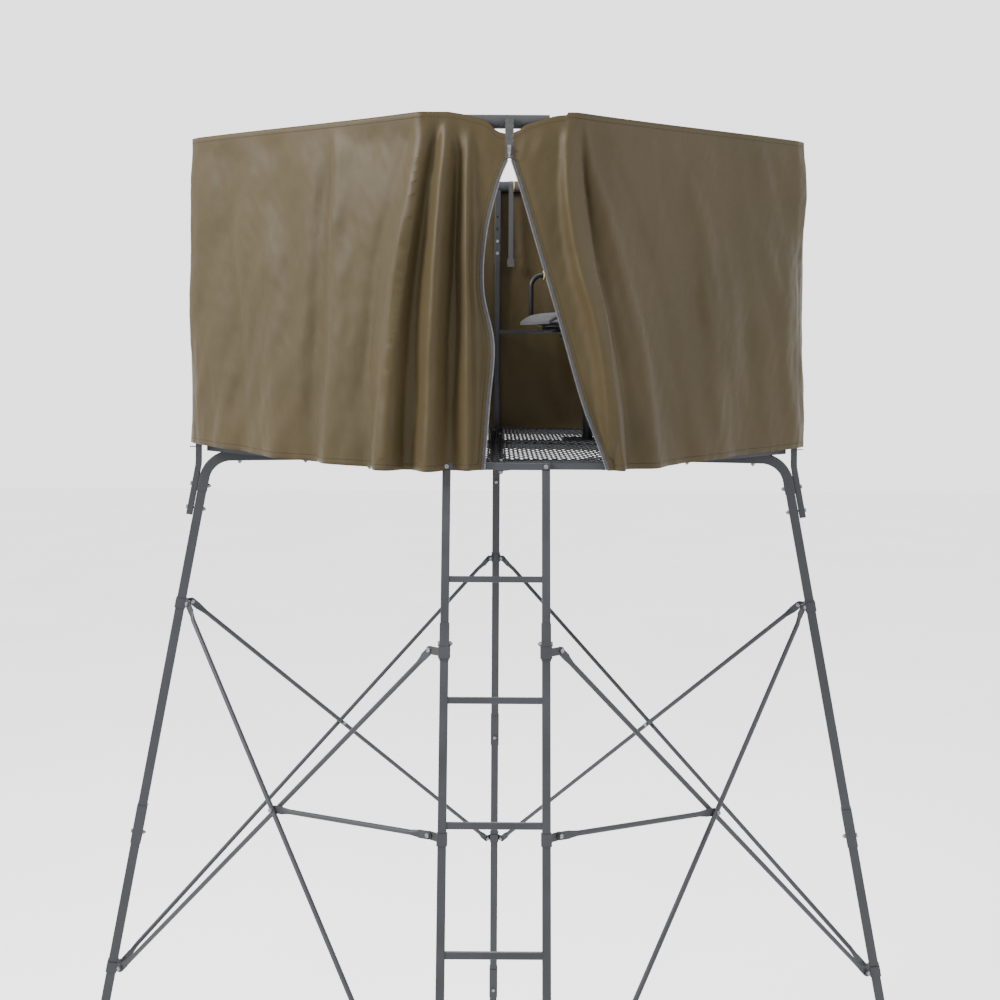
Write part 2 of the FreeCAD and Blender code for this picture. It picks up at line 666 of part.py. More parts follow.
def rail_corners():
    """The right half of the rail in plan: front end, front, side and rear corner, rear end."""
    rear = V(0, REAR_LEG_TOP + post_reach(REAR_LEG_SPLAY), 0)
    heading = math.radians(SIDE_LEG_HEADING)
    reach = post_reach(SIDE_LEG_SPLAY)
    side = V(SIDE_LEG_TOP[0] + reach * math.cos(heading), SIDE_LEG_TOP[1] + reach * math.sin(heading), 0)
    front = V(RAIL_FRONT_HALF, 0, 0)
    back = V(RAIL_REAR_HALF, rear.y, 0)
    side = side + bend_sag(front, side, back, RAIL_BEND)
    return [V(GATE_PIVOT + GATE_SETBACK, 0, 0), front, side, back, V(HALVES_GAP / 2, rear.y, 0)]


def raised(points, z):
    return [V(p.x, p.y, z) for p in points]


def build_rail():
    """The two bent rail tubes with their post sleeves, foam, hinge cheeks and cradle."""
    z = DECK_HEIGHT + RAIL_HEIGHT
    path = raised(rail_corners(), z)
    tube = round_bent(path, RAIL_BEND, RAIL_R, RAIL_WALL)
    solid_rail = round_bent(path, RAIL_BEND, RAIL_R)
    foam_path = [path[0] + V(HINGE_PLATE + 1, 0, 0)] + path[1:]
    foam = round_bent(foam_path, RAIL_BEND, FOAM_R, FOAM_R - RAIL_R)

    end = path[0]
    half_gap = GATE_R + GATE_CLEAR
    deep = half_gap + HINGE_PLATE
    tall = RAIL_R + 2
    back = Part.makeBox(HINGE_PLATE, 2 * deep, 2 * tall, end + V(-HINGE_PLATE, -deep, -tall))
    cheek = Part.makeBox(28, HINGE_PLATE, 2 * tall, end + V(-28, half_gap, -tall))
    cheeks = [cheek, cheek.mirror(V(0, 0, 0), V(0, 1, 0))]
    floor = Part.makeBox(28, 2 * deep, HINGE_PLATE,
                         end + V(-28, -deep, -half_gap - HINGE_PLATE))
    hinge = back.multiFuse(cheeks).removeSplitter()
    cradle = back.multiFuse(cheeks + [floor]).removeSplitter()
    left_pivot = V(-GATE_PIVOT, 0, z)
    put("rail_right", tube.fuse(cradle).removeSplitter())
    put("rail_left", mirrored(tube.fuse(hinge).removeSplitter()))

    sleeve_outer = POST + 2 * (SLIDE_CLEAR + POST_SLEEVE_WALL)
    low = DECK_HEIGHT + SLEEVE_BOTTOM
    side, rear, front = post_centres()
    spots = ((side, leg_frame("side")[1]), (front, V(1, 0, 0)))
    for place in (lambda s: s, mirrored):
        for at, outward in spots:
            sleeve = beam(V(at.x, at.y, low), V(at.x, at.y, z), sleeve_outer, sleeve_outer,
                          POST_SLEEVE_WALL, outward).cut(solid_rail)
            sleeve = min(sleeve.Solids, key=lambda s: s.BoundBox.ZMin)
            screw, hole = set_screw(V(at.x, at.y, DECK_HEIGHT + SLEEVE_HOLES[0]), outward * -1, sleeve_outer)
            put("post_sleeves", place(sleeve.cut(hole)))
            put("rail_screws", place(screw))
    sleeve = beam(V(0, rear.y, low), V(0, rear.y, z), sleeve_outer, sleeve_outer, POST_SLEEVE_WALL,
                  V(1, 0, 0)).cut(rod(V(-60, rear.y, z), V(60, rear.y, z), RAIL_R))
    for i, height in enumerate(SLEEVE_HOLES):
        screw, hole = set_screw(V(0, rear.y, DECK_HEIGHT + height), V(0, -1, 0), sleeve_outer)
        sleeve = sleeve.cut(hole)
        if i < 2:
            put("rail_screws", screw)
    put("post_sleeves", sleeve)

    gap = sleeve_outer + 2 * FOAM_GAP
    for place in (lambda s: s, mirrored):
        cut = place(foam)
        for at, outward in spots + ((rear, V(1, 0, 0)),):
            notch = beam(V(at.x, at.y, z - 60), V(at.x, at.y, z), gap, gap, 0, outward)
            cut = cut.cut(place(notch))
        put("rail_foam", cut)

    low_end, high_end = V(-GATE_PIVOT - GATE_R, 0, z), V(GATE_PIVOT + 5, 0, z)
    pin_grip = 2 * deep
    bolt("rail_screws", left_pivot, V(0, -1, 0), pin_grip, ["rail_left"])
    bar = rod(low_end, high_end, GATE_R, GATE_WALL)
    put("gate_bar", bar.cut(rod(left_pivot - V(0, 20, 0), left_pivot + V(0, 20, 0), BOLT_R + PIN_CLEAR)))
    put("gate_foam", rod(V(-GATE_FOAM_HALF, 0, z), V(GATE_FOAM_HALF, 0, z), FOAM_R, FOAM_R - GATE_R))

    top = DECK_HEIGHT + RAIL_HEIGHT
    ring = rod(V(STRAP_X - STRAP_WIDTH / 2, rear.y, top), V(STRAP_X + STRAP_WIDTH / 2, rear.y, top),
               FOAM_R + STRAP, STRAP)
    tail = Part.makeBox(STRAP_WIDTH, STRAP, STRAP_LENGTH,
                        V(STRAP_X - STRAP_WIDTH / 2, rear.y - FOAM_R - STRAP, top - STRAP_LENGTH))
    inside = rod(V(-60, rear.y, top), V(160, rear.y, top), FOAM_R)
    put("hanging_strap", ring.fuse(tail.cut(inside)).removeSplitter())
    buckle = Part.makeBox(STRAP_WIDTH + 10, STRAP + 6, 34,
                          V(STRAP_X - STRAP_WIDTH / 2 - 5, rear.y - FOAM_R - STRAP - 3,
                            top - STRAP_LENGTH - 4))
    put("hanging_strap", buckle.cut(PARTS["hanging_strap"][0]))


def set_screw(at, outward, outer):
    """A short screw in one wall of a sleeve, and the hole it needs."""
    face = at + outward * (outer / 2)
    shank = rod(face - outward * (POST_SLEEVE_WALL - 0.3), face + outward, BOLT_R)
    head = hexagon(face, outward, HEAD_ACROSS, HEAD_HEIGHT)
    hole = rod(face - outward * (POST_SLEEVE_WALL + 2), face + outward, BOLT_R + BOLT_HOLE_CLEAR)
    return head.fuse(shank).removeSplitter(), hole


# ---- seats -------------------------------------------------------------------------
def seat_path(side):
    """A side tube's corners: back's top and foot, arm's foot and top, and the arm's end at the back."""
    z, x = DECK_HEIGHT, side * SEAT_HALF
    return [V(x, SEAT_BACK + 20, z + BACK_TOP), V(x, SEAT_BACK, z + SEAT_TOP),
            V(x, -ARM_FRONT, z + SEAT_TOP), V(x, -ARM_FRONT, z + ARM_TOP),
            V(x, SEAT_BACK - ARM_JOINT, z + ARM_TOP)]


def seat_loop(side):
    """One side tube of a seat: the back, the side rail and the arm, welded to the back."""
    path = seat_path(side)
    loop = round_bent(path, ARM_BEND_R, SEAT_TUBE_R, SEAT_TUBE_WALL)
    lean = path[0] - path[1]
    joint = path[1] + lean * ((ARM_TOP - SEAT_TOP) / (BACK_TOP - SEAT_TOP))
    arm_end = rod(path[4], joint, SEAT_TUBE_R, SEAT_TUBE_WALL).cut(rod(path[0], path[1], SEAT_TUBE_R))
    return loop.fuse(arm_end)


def build_seat(label, sign):
    """One swivel seat facing the ladder, turned to its heading on its pedestal."""
    z = DECK_HEIGHT
    solids = {"frame": [], "cushion": [], "backrest": [], "pads": []}
    rail_z = z + SEAT_TOP
    bar_z = rail_z - 2 * SEAT_TUBE_R
    path = seat_path(1)
    lean = path[0] - path[1]
    bars = []
    for y in (-SEAT_BAR, SEAT_BAR):
        bars.append(rod(V(-SEAT_HALF, y, bar_z), V(SEAT_HALF, y, bar_z), SEAT_TUBE_R, SEAT_TUBE_WALL))
    top_z = bar_z - SEAT_TUBE_R - SEAT_PLATE
    half_deep = SEAT_BAR + SEAT_PLATE_LIP
    deck_plate = Part.makeBox(SEAT_PLATE_WIDTH, 2 * half_deep, SEAT_PLATE,
                              V(-SEAT_PLATE_WIDTH / 2, -half_deep, top_z))
    spigot_r = PEDESTAL_R - PEDESTAL_WALL - PIN_CLEAR
    spigot = rod(V(0, 0, top_z - SPIGOT_LENGTH), V(0, 0, top_z), spigot_r)
    solids["frame"] = [seat_loop(1), seat_loop(-1)] + bars + [deck_plate.fuse(spigot).removeSplitter()]

    under = rail_z + SEAT_TUBE_R
    thick, roll = 22.0, 18.0
    back_edge = SEAT_BACK - ARM_BEND_R - 5
    outer = [(back_edge, under), (-SEAT_FRONT, under), (-SEAT_FRONT - 14, under - 10),
             (-SEAT_FRONT - 14 - thick * 0.8, under - 10), (-SEAT_FRONT - 14, under + thick * 0.72),
             (-SEAT_FRONT + roll, under + thick), (back_edge, under + thick)]
    ring = [V(-SEAT_HALF + 6, y, h) for y, h in outer]
    cushion = Part.Face(Part.makePolygon(ring + ring[:1])).extrude(V(2 * SEAT_HALF - 12, 0, 0))
    notch = Part.makeBox(40, ARM_BEND_R + SEAT_TUBE_R + 8, 80,
                         V(SEAT_HALF - SEAT_TUBE_R - 1, -ARM_FRONT - SEAT_TUBE_R - 4, under - 30))
    solids["cushion"] = [cushion.cut(notch).cut(mirrored(notch))]
    lean = unit(lean)
    low = path[1] + lean * (115 / lean.z)
    high = path[1] + lean * ((BACK_TOP - SEAT_TOP - 12) / lean.z)
    front = across(V(0, -1, 0), lean)
    shift = front * (SEAT_TUBE_R + SLING)
    back = box_along(V(0, low.y, low.z) + shift, V(0, high.y, high.z) + shift, 2 * SEAT_HALF + 10,
                     2 * SLING, V(1, 0, 0))
    arm_zone = rod(V(SEAT_HALF, 0, z + ARM_TOP), V(SEAT_HALF, SEAT_BACK + 20, z + ARM_TOP),
                   PAD_R + 0.5)
    solids["backrest"] = [back.cut(arm_zone).cut(mirrored(arm_zone))]
    pad = rod(V(SEAT_HALF, -ARM_FRONT + ARM_BEND_R + 2, z + ARM_TOP),
              V(SEAT_HALF, SEAT_BACK - 60, z + ARM_TOP), PAD_R, PAD_R - SEAT_TUBE_R)
    solids["pads"] = [pad, mirrored(pad)]

    at = V(sign * SEAT_X, SEAT_Y, 0)
    for kind, group in solids.items():
        for solid in group:
            turned = solid.rotate(V(0, 0, 0), UP, SEAT_TURN[label])
            put("seat_%s_%s" % (label, kind), turned.translate(at))
    base = Part.makeBox(PEDESTAL_PLATE, PEDESTAL_PLATE, 5,
                        V(at.x - PEDESTAL_PLATE / 2, at.y - PEDESTAL_PLATE / 2, z))
    column = rod(V(at.x, at.y, z + 5), V(at.x, at.y, top_z - 0.5), PEDESTAL_R, PEDESTAL_WALL)
    put("seat_pedestals", base.fuse(column).removeSplitter())
    for side in (-1, 1):
        drop = (MESH_THICKNESS + DECK_TUBE - 5) / 2
        bolt("frame_bolts", V(at.x + side * 70, at.y, z - drop), V(0, 0, -1),
             MESH_THICKNESS + DECK_TUBE + 5, ["seat_pedestals", "deck_mesh_" + label,
                                              "deck_frame_" + label])


# ---- skirt -------------------------------------------------------------------------
def wall(corners, inward):
    """A thin flat panel through its corners, thickened inwards."""
    ring = corners + corners[:1]
    face = Part.Face(Part.makePolygon(ring))
    normal = unit((corners[1] - corners[0]).cross(corners[2] - corners[0]))
    if normal.dot(inward) < 0:
        normal = normal * -1
    return face.extrude(normal * SKIRT)


def put_apart(name, panels, others):
    """Adds panels to a node, each trimmed where it would enter one that is already there."""
    for panel in panels:
        for other in others:
            panel = panel.cut(other)
        put(name, panel)
        others.append(panel)


def build_skirt():
    """The fabric skirt: front with its door, sides and rear, and its zip."""
    low, top = DECK_HEIGHT + SKIRT_HEM, DECK_HEIGHT + SKIRT_TOP
    corners = rail_corners()[1:4]
    loop = [V(-c.x, c.y, 0) for c in corners]
    outline = corners + loop[::-1]
    outer = polygon_inset(outline, -SKIRT_OFFSET)
    front, side, rear = outer[:3]
    side_x = SKIRT_CORNER
    lower_side = front + (side - front) * ((side_x - front.x) / (side.x - front.x))
    upper_side = side + (rear - side) * ((side_x - side.x) / (rear.x - side.x))
    hem_front = V(DECK_FRONT_HALF + 15, front.y, 0)
    def at(p, z):
        return V(p.x, p.y, z)
    middle = V(0, SIDE_LEG_TOP[1], 0)
    panels = []
    for quad in ([at(front, top), at(lower_side, top), at(lower_side, low)],
                 [at(front, top), at(lower_side, low), at(hem_front, low)],
                 [at(lower_side, low), at(upper_side, low), at(upper_side, top), at(lower_side, top)]):
        panels.append(wall(quad, middle - (quad[0] + quad[1]) * 0.5))
    y = front.y
    placed = []
    put_apart("cover_right", panels, placed)
    put_apart("cover_left", [mirrored(p) for p in panels], placed)
    door_top = DECK_HEIGHT + DOOR_TOP
    zip_gap = 1.0
    left = [V(-front.x, y, top), V(-hem_front.x, y, low), V(DOOR_LEFT, y, low),
            V(ZIP_X - zip_gap, y, door_top), V(ZIP_X - zip_gap, y, top)]
    right = [V(front.x, y, top), V(hem_front.x, y, low),
             V(ZIP_X + zip_gap, y, door_top), V(ZIP_X + zip_gap, y, top)]
    put_apart("cover_left", [wall(left, V(0, 1, 0))], placed)
    put_apart("cover_right", [wall(right, V(0, 1, 0))], placed)
    back = [at(upper_side, low), at(rear, low), at(rear, top), at(upper_side, top)]
    rear_side = wall(back, middle - (back[0] + back[1]) * 0.5)
    behind = [at(rear, low), V(-rear.x, rear.y, low), V(-rear.x, rear.y, top), at(rear, top)]
    put_apart("cover_rear", [rear_side, mirrored(rear_side), wall(behind, V(0, -1, 0))], placed)

    for side in (-1, 1):
        x = ZIP_X + (zip_gap if side > 0 else -zip_gap - TAPE_WIDTH)
        put("zipper_tape", Part.makeBox(TAPE_WIDTH, TAPE, top - door_top - 8, V(x, y - TAPE, door_top)))
    z = DECK_HEIGHT + SLIDER_HEIGHT
    face = y - TAPE - SLIDER_CLEAR
    body = Part.makeBox(11, 4, 26, V(ZIP_X - 5.5, face - 4, z - 13))
    lug = Part.makeBox(2, 6.4, 5.6, V(ZIP_X + 3.4, face - 10, z + 2))
    pin_at = V(ZIP_X, face - 7.2, z + 4.8)
    pin = rod(pin_at - V(5.2, 0, 0), pin_at + V(5.2, 0, 0), PULL_PIN_R)
    other = Part.makeBox(2, 6.4, 5.6, V(ZIP_X - 5.4, face - 10, z + 2))
    put("zipper_slider", body.multiFuse([lug, other, pin]).removeSplitter())
    barrel = rod(pin_at - V(3, 0, 0), pin_at + V(3, 0, 0), 2.6)
    plate = Part.makeBox(6, 2, 30, pin_at + V(-3, -1, -30))
    hole = rod(pin_at - V(4, 0, 0), pin_at + V(4, 0, 0), PULL_PIN_R + PIN_CLEAR)
    eye = rod(pin_at + V(0, -3, -24), pin_at + V(0, 3, -24), 1.8)
    put("zipper_pull", barrel.fuse(plate).cut(hole).cut(eye).removeSplitter())


def build_ties():
    """A cord at the left corner and a strap at the right one hold the hem to the side posts."""
    z = DECK_HEIGHT + TIE_HEIGHT
    side = post_centres()[0]
    inner = SKIRT_CORNER - SKIRT
    post_block = beam(V(side.x, side.y, z - 40), V(side.x, side.y, z + 40), POST, POST, 0,
                      leg_frame("side")[1])
    cord = rod(V(-side.x, side.y, z), V(-inner, side.y, z), TIE_R)
    put("corner_ties", cord.cut(mirrored(post_block)))
    strap = Part.makeBox(inner - side.x, 18, STRAP, V(side.x, side.y - 9, z))
    put("corner_ties", strap.cut(post_block))


# ---- deck and rails assembly ----------------------------------------------------------
def build_deck():
    """Deck halves, their mesh, the stay, the front posts and the middle rails."""
    for label, place in (("right", lambda s: s), ("left", mirrored)):
        for bar in deck_half_frame():
            put("deck_frame_" + label, place(bar))
        put("deck_mesh_" + label, place(slab(DECK_OUTLINE, FRAME_TOP, MESH_THICKNESS)))
    stay_from, stay_to = V(14, DECK_TUBE / 2, 0), V(560, arm_beam_y(560), 0)
    run = unit(stay_to - stay_from) * 14
    z = FRAME_BOTTOM - STAY / 2
    stay = box_along(stay_from - run + V(0, 0, z), stay_to + run + V(0, 0, z), STAY_WIDTH, STAY,
                     UP.cross(run))
    put("deck_stay", stay)
    for at in (stay_from, stay_to):
        bolt("frame_bolts", V(at.x, at.y, DECK_HEIGHT - 15), V(0, 0, -1), MESH_THICKNESS + DECK_TUBE + STAY,
             ["deck_mesh_right", "deck_frame_right", "deck_stay"])
    mid = FRAME_BOTTOM + DECK_TUBE / 2
    for y in SPINE_BOLTS:
        bolt("frame_bolts", V(0, y, mid), V(1, 0, 0), 2 * DECK_TUBE + HALVES_GAP,
             ["deck_frame_left", "deck_frame_right"])
    for side in (-1, 1):
        bolt("frame_bolts", V(side * LADDER_BOLT_X, 0, mid), V(0, 1, 0), 2 * DECK_TUBE,
             ["ladder_top_section", "deck_frame_" + ("left" if side < 0 else "right")])
    stack = MESH_THICKNESS + DECK_TUBE + ARM_TUBE
    for x in ARM_BOLTS:
        for label, sign in (("right", 1), ("left", -1)):
            bolt("frame_bolts", V(sign * x, arm_beam_y(x), DECK_HEIGHT - stack / 2), V(0, 0, -1), stack,
                 ["deck_mesh_" + label, "deck_frame_" + label, "corner_bracket_" + label])
    lane = (DECK_TUBE + HALVES_GAP) / 2
    for x, y, label in ((lane, REAR_ARM_BOLTS[0], "right"), (-lane, REAR_ARM_BOLTS[1], "left")):
        bolt("frame_bolts", V(x, y, DECK_HEIGHT - stack / 2), V(0, 0, -1), stack,
             ["deck_mesh_" + label, "deck_frame_" + label, "corner_bracket_rear"])

    side, rear, front = post_centres()
    wide, deep, thick = FRONT_POST_PLATE
    plate = Part.makeBox(wide, deep, thick, V(front.x - wide / 2, front.y - deep / 2, DECK_HEIGHT))
    column = beam(V(front.x, front.y, DECK_HEIGHT + thick), V(front.x, front.y, DECK_HEIGHT + POST_TOP),
                  POST, POST, POST_WALL, V(1, 0, 0))
    post = plate.fuse(column).removeSplitter()
    put("posts_front", post, mirrored(post))
    for label, sign in (("right", 1), ("left", -1)):
        for step in (-30, 30):
            bolt("frame_bolts", V(sign * (front.x + step), front.y, DECK_HEIGHT - 10), V(0, 0, -1), 30,
                 ["posts_front", "deck_mesh_" + label, "deck_frame_" + label])
    z = DECK_HEIGHT + MID_RAIL_HEIGHT
    cores = [beam(V(p.x, p.y, z - 30), V(p.x, p.y, z + 30), POST, POST, 0, d)
             for p, d in ((side, leg_frame("side")[1]), (rear, V(1, 0, 0)), (front, V(1, 0, 0)))]
    for a, b in ((rear, side), (side, front)):
        bar = rod(V(a.x, a.y, z), V(b.x, b.y, z), MID_RAIL_R)
        for core in cores:
            bar = bar.cut(core)
        put("mid_rails", bar, mirrored(bar))


# ---- assembly ----------------------------------------------------------------------
def build_frame():
    """Legs and posts with the bolts that join them."""
    for name in ("side", "rear"):
        bracket, lengths, foot = build_leg(name)
        post = build_post(name)
        both = (("right", lambda s: s), ("left", mirrored))
        sides = (("rear", lambda s: s),) if name == "rear" else both
        for label, place in sides:
            put("corner_bracket_" + label, place(bracket))
            for part_name, solid in zip(("upper", "middle", "lower"), lengths):
                put("leg_%s_%s" % (label, part_name), place(solid))
            put("leg_feet", place(foot))
            put("post_" + label, place(post))


def leg_bolts():
    """Bolts through post, bracket and leg, and one at each sleeve and foot."""
    sleeve = LEG + 2 * (LEG_SLEEVE_WALL + FIT)
    for label in ("right", "left", "rear"):
        name = "rear" if label == "rear" else "side"
        _, outward, splay = leg_frame(name)
        square = unit(outward + UP * splay)
        reach = (ARM_TUBE + 2 * POST) / 2
        upper, lower = "leg_%s_upper" % label, "leg_%s_lower" % label
        middle = "leg_%s_middle" % label
        spots = [(leg_point(name, ARM_DROP - 20), -ARM_TUBE / 2, reach,
                  ["post_" + label, "corner_bracket_" + label, upper]),
                 (leg_point(name, POST_FOOT_DROP - 20), -LEG / 2, reach, ["post_" + label, upper]),
                 (leg_point(name, LEG_JOINTS[0] + 30), -sleeve / 2, sleeve / 2, [upper, middle]),
                 (leg_point(name, LEG_JOINTS[1] + 30), -sleeve / 2, sleeve / 2, [middle, lower]),
                 (leg_point(name, DECK_HEIGHT - 42), -sleeve / 2, sleeve / 2, [lower, "leg_feet"])]
        for at, inner, outer, through in spots:
            centre, axis = at + square * ((inner + outer) / 2), V(square)
            if label == "left":
                centre, axis = V(-centre.x, centre.y, centre.z), V(-axis.x, axis.y, axis.z)
            bolt("frame_bolts", centre, axis * -1, outer - inner, through)
    names = ("ladder_top_section", "ladder_upper_section", "ladder_middle_section",
             "ladder_lower_section")
    wide = STILE + 2 * (LADDER_SLEEVE_WALL + FIT)
    for i, joint in enumerate(LADDER_JOINTS):
        for side in (-1, 1):
            bolt("frame_bolts", ladder_point(side * STILE_SPACING / 2, joint + LADDER_BOLT),
                 V(-side, 0, 0), wide, names[i:i + 2])


def save():
    """Moves every node so the origin is centred under the stand and writes its STEP file."""
    feet = Part.makeCompound(PARTS["leg_feet"] + PARTS["ladder_feet"]).BoundBox
    shift = V(0, -(feet.YMin + feet.YMax) / 2, 0)
    for name, solids in PARTS.items():
        Part.makeCompound(solids).translated(shift).exportStep("parts/%s.step" % name)


def main():
    os.makedirs("parts", exist_ok=True)
    build_frame()
    build_ladder()
    build_deck()
    leg_bolts()
    build_braces()
    build_rail()
    build_seat("right", 1)
    build_seat("left", -1)
    build_skirt()
    build_ties()
    save()


if __name__ == "__main__":
    main()
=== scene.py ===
"""Tripod hunting stand: skirt, expanded metal deck, padded seats and finishes round the fixed frame."""
import json
import math

import bmesh
import bpy
import numpy as np
from mathutils import Matrix, Vector, noise


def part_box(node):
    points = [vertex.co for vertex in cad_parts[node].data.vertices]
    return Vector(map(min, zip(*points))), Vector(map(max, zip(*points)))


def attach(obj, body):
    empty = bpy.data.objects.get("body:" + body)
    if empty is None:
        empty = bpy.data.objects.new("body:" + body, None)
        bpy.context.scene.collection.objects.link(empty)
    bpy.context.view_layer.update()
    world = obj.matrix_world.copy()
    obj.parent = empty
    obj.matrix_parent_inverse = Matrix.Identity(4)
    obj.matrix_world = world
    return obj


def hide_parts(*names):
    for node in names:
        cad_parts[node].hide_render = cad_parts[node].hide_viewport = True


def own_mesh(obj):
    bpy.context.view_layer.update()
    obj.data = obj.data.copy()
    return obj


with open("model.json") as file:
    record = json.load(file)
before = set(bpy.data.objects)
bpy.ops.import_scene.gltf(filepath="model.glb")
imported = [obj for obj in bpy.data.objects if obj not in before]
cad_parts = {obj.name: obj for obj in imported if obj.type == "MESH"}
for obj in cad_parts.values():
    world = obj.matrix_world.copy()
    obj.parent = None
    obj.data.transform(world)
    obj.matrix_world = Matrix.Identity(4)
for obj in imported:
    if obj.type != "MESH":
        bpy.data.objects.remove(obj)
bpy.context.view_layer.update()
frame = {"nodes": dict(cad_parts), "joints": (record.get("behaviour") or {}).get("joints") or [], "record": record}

bl_info = {
    "name": "Tripod hunting stand",
    "version": (1, 0, 0),
    "blender": (4, 5, 0),
    "location": "View3D > Sidebar > Stand",
    "description": "Models the skirt, deck mesh, seats and finishes of a tripod hunting stand",
    "category": "Add Mesh",
}

JOINTS = {j["name"]: j for j in frame["joints"]}
DECK_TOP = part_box("deck_mesh_right")[1].z
FRONT_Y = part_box("deck_mesh_right")[0].y
RAIL_Z = JOINTS["gate_hinge"]["pos_m"][2]
SKIRT_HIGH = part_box("cover_right")[1]


# ---- sizes and colours a user would change --------------------------------------------
class StandSkirt(bpy.types.PropertyGroup):
    fabric: bpy.props.FloatVectorProperty(
        name="Fabric", description="Outer colour of the skirt", subtype="COLOR", size=3,
        default=(0.0270, 0.0190, 0.0065), min=0, max=1)
    lining: bpy.props.FloatVectorProperty(
        name="Lining", description="Inner colour of the skirt", subtype="COLOR", size=3,
        default=(0.0260, 0.0195, 0.0085), min=0, max=1)
    thickness: bpy.props.FloatProperty(
        name="Thickness", description="Thickness of the skirt's fabric", default=0.0012,
        min=0.0005, max=0.004, unit="LENGTH")
    fold_depth: bpy.props.FloatProperty(
        name="Fold depth", description="Scales how far the folds stand out", default=1.0,
        min=0.0, max=1.5, subtype="FACTOR")
    hem_drop: bpy.props.FloatProperty(
        name="Hem drop", description="How far the front hem hangs below the deck", default=0.024,
        min=0.0, max=0.05, unit="LENGTH")
    fullness: bpy.props.FloatProperty(
        name="Fullness", description="Width of cloth cut for each metre of rail it hangs on",
        default=1.10, min=1.0, max=1.6, subtype="FACTOR")
    tape_width: bpy.props.FloatProperty(
        name="Zip tape", description="Width of the zip tape on each door edge", default=0.011,
        min=0.004, max=0.02, unit="LENGTH")


class StandDeck(bpy.types.PropertyGroup):
    mesh_long: bpy.props.FloatProperty(
        name="Mesh long way", description="Long pitch of the deck's expanded mesh", default=0.070,
        min=0.02, max=0.1, unit="LENGTH")
    mesh_short: bpy.props.FloatProperty(
        name="Mesh short way", description="Short pitch of the deck's expanded mesh", default=0.030,
        min=0.01, max=0.05, unit="LENGTH")
    strand: bpy.props.FloatProperty(
        name="Strand", description="Thickness of the mesh's strands", default=0.0038,
        min=0.001, max=0.006, unit="LENGTH")


class StandSeat(bpy.types.PropertyGroup):
    crown: bpy.props.FloatProperty(
        name="Crown", description="How far a cushion's middle stands above its edge", default=0.010,
        min=0.0, max=0.03, unit="LENGTH")
    piping: bpy.props.FloatVectorProperty(
        name="Piping", description="Colour of the piping on the arm wraps", subtype="COLOR", size=3,
        default=(0.50, 0.36, 0.045), min=0, max=1)


class StandFinish(bpy.types.PropertyGroup):
    paint: bpy.props.FloatVectorProperty(
        name="Paint", description="Powder coat of the frame", subtype="COLOR", size=3,
        default=(0.0150, 0.0160, 0.0190), min=0, max=1)
    foam: bpy.props.FloatVectorProperty(
        name="Foam", description="Colour of the rail's foam", subtype="COLOR", size=3,
        default=(0.0080, 0.0090, 0.0110), min=0, max=1)
    camera_height: bpy.props.FloatProperty(
        name="Camera height", description="Height of the camera above the deck", default=0.358,
        min=0.0, max=3.0, unit="LENGTH")


# ---- shader helper ------------------------------------------------------------------------
class Value:
    """A socket whose arithmetic adds Math nodes to its tree."""

    def __init__(self, tree, socket):
        self.tree, self.socket = tree, socket

    def _math(self, operation, a, b):
        return self.tree.node("ShaderNodeMath", {"operation": operation}, {0: a, 1: b})[0]

    def __add__(self, other):
        return self._math("ADD", self, other)

    def __mul__(self, other):
        return self._math("MULTIPLY", self, other)

    __radd__, __rmul__ = __add__, __mul__


class Finish:
    """A material's node tree, with one method that adds a node."""

    def __init__(self, name):
        self.material = bpy.data.materials.new(name)
        self.material.use_nodes = True
        self.tree = self.material.node_tree
        self.shader = self.tree.nodes["Principled BSDF"]

    def node(self, kind, settings=None, inputs=None):
        made = self.tree.nodes.new(kind)
        for key, value in (settings or {}).items():
            if key == "stops":
                for _ in range(len(value) - 2):
                    made.color_ramp.elements.new(0.5)
                for element, (place, colour) in zip(made.color_ramp.elements, value):
                    element.position, element.color = place, (*colour, 1)
            else:
                setattr(made, key, value)
        for key, value in (inputs or {}).items():
            if isinstance(value, Value):
                self.tree.links.new(value.socket, made.inputs[key])
            else:
                made.inputs[key].default_value = value
        return [Value(self, s) for s in made.outputs]

    def at(self, name="Object"):
        made = self.tree.nodes.new("ShaderNodeTexCoord")
        return Value(self, made.outputs[name])

    def noise(self, scale, detail=3.0, roughness=0.5, at=None, stretch=None):
        where = at or self.at()
        if stretch:
            where = self.node("ShaderNodeMapping", None, {"Vector": where, "Scale": stretch})[0]
        return self.node("ShaderNodeTexNoise", None,
                         {"Vector": where, "Scale": scale, "Detail": detail, "Roughness": roughness})[0]

    def ramp(self, value, stops):
        return self.node("ShaderNodeValToRGB", {"stops": stops}, {"Fac": value})[0]

    def blend(self, mask, a, b):
        """Colour a where the mask is 0 and b where it is 1."""
        made = self.tree.nodes.new("ShaderNodeMix")
        made.data_type = "RGBA"
        for socket, value in ((made.inputs[0], mask), (made.inputs[6], a), (made.inputs[7], b)):
            if isinstance(value, Value):
                self.tree.links.new(value.socket, socket)
            else:
                socket.default_value = (*value, 1)
        return Value(self, made.outputs[2])

    def span(self, value, low, high, to_low=0.0, to_high=1.0):
        return self.node("ShaderNodeMapRange", {"interpolation_type": "SMOOTHSTEP"},
                         {0: value, 1: low, 2: high, 3: to_low, 4: to_high})[0]

    def bump(self, height, strength, distance, under=None):
        inputs = {"Height": height, "Strength": strength, "Distance": distance}
        if under:
            inputs["Normal"] = under
        return self.node("ShaderNodeBump", None, inputs)[0]

    def connect(self, **sockets):
        for name, value in sockets.items():
            socket = self.shader.inputs[name.replace("_", " ")]
            if isinstance(value, Value):
                self.tree.links.new(value.socket, socket)
            else:
                socket.default_value = value
        return self.material


def tinted(colour, factor):
    return tuple(min(1.0, c * factor) for c in colour)


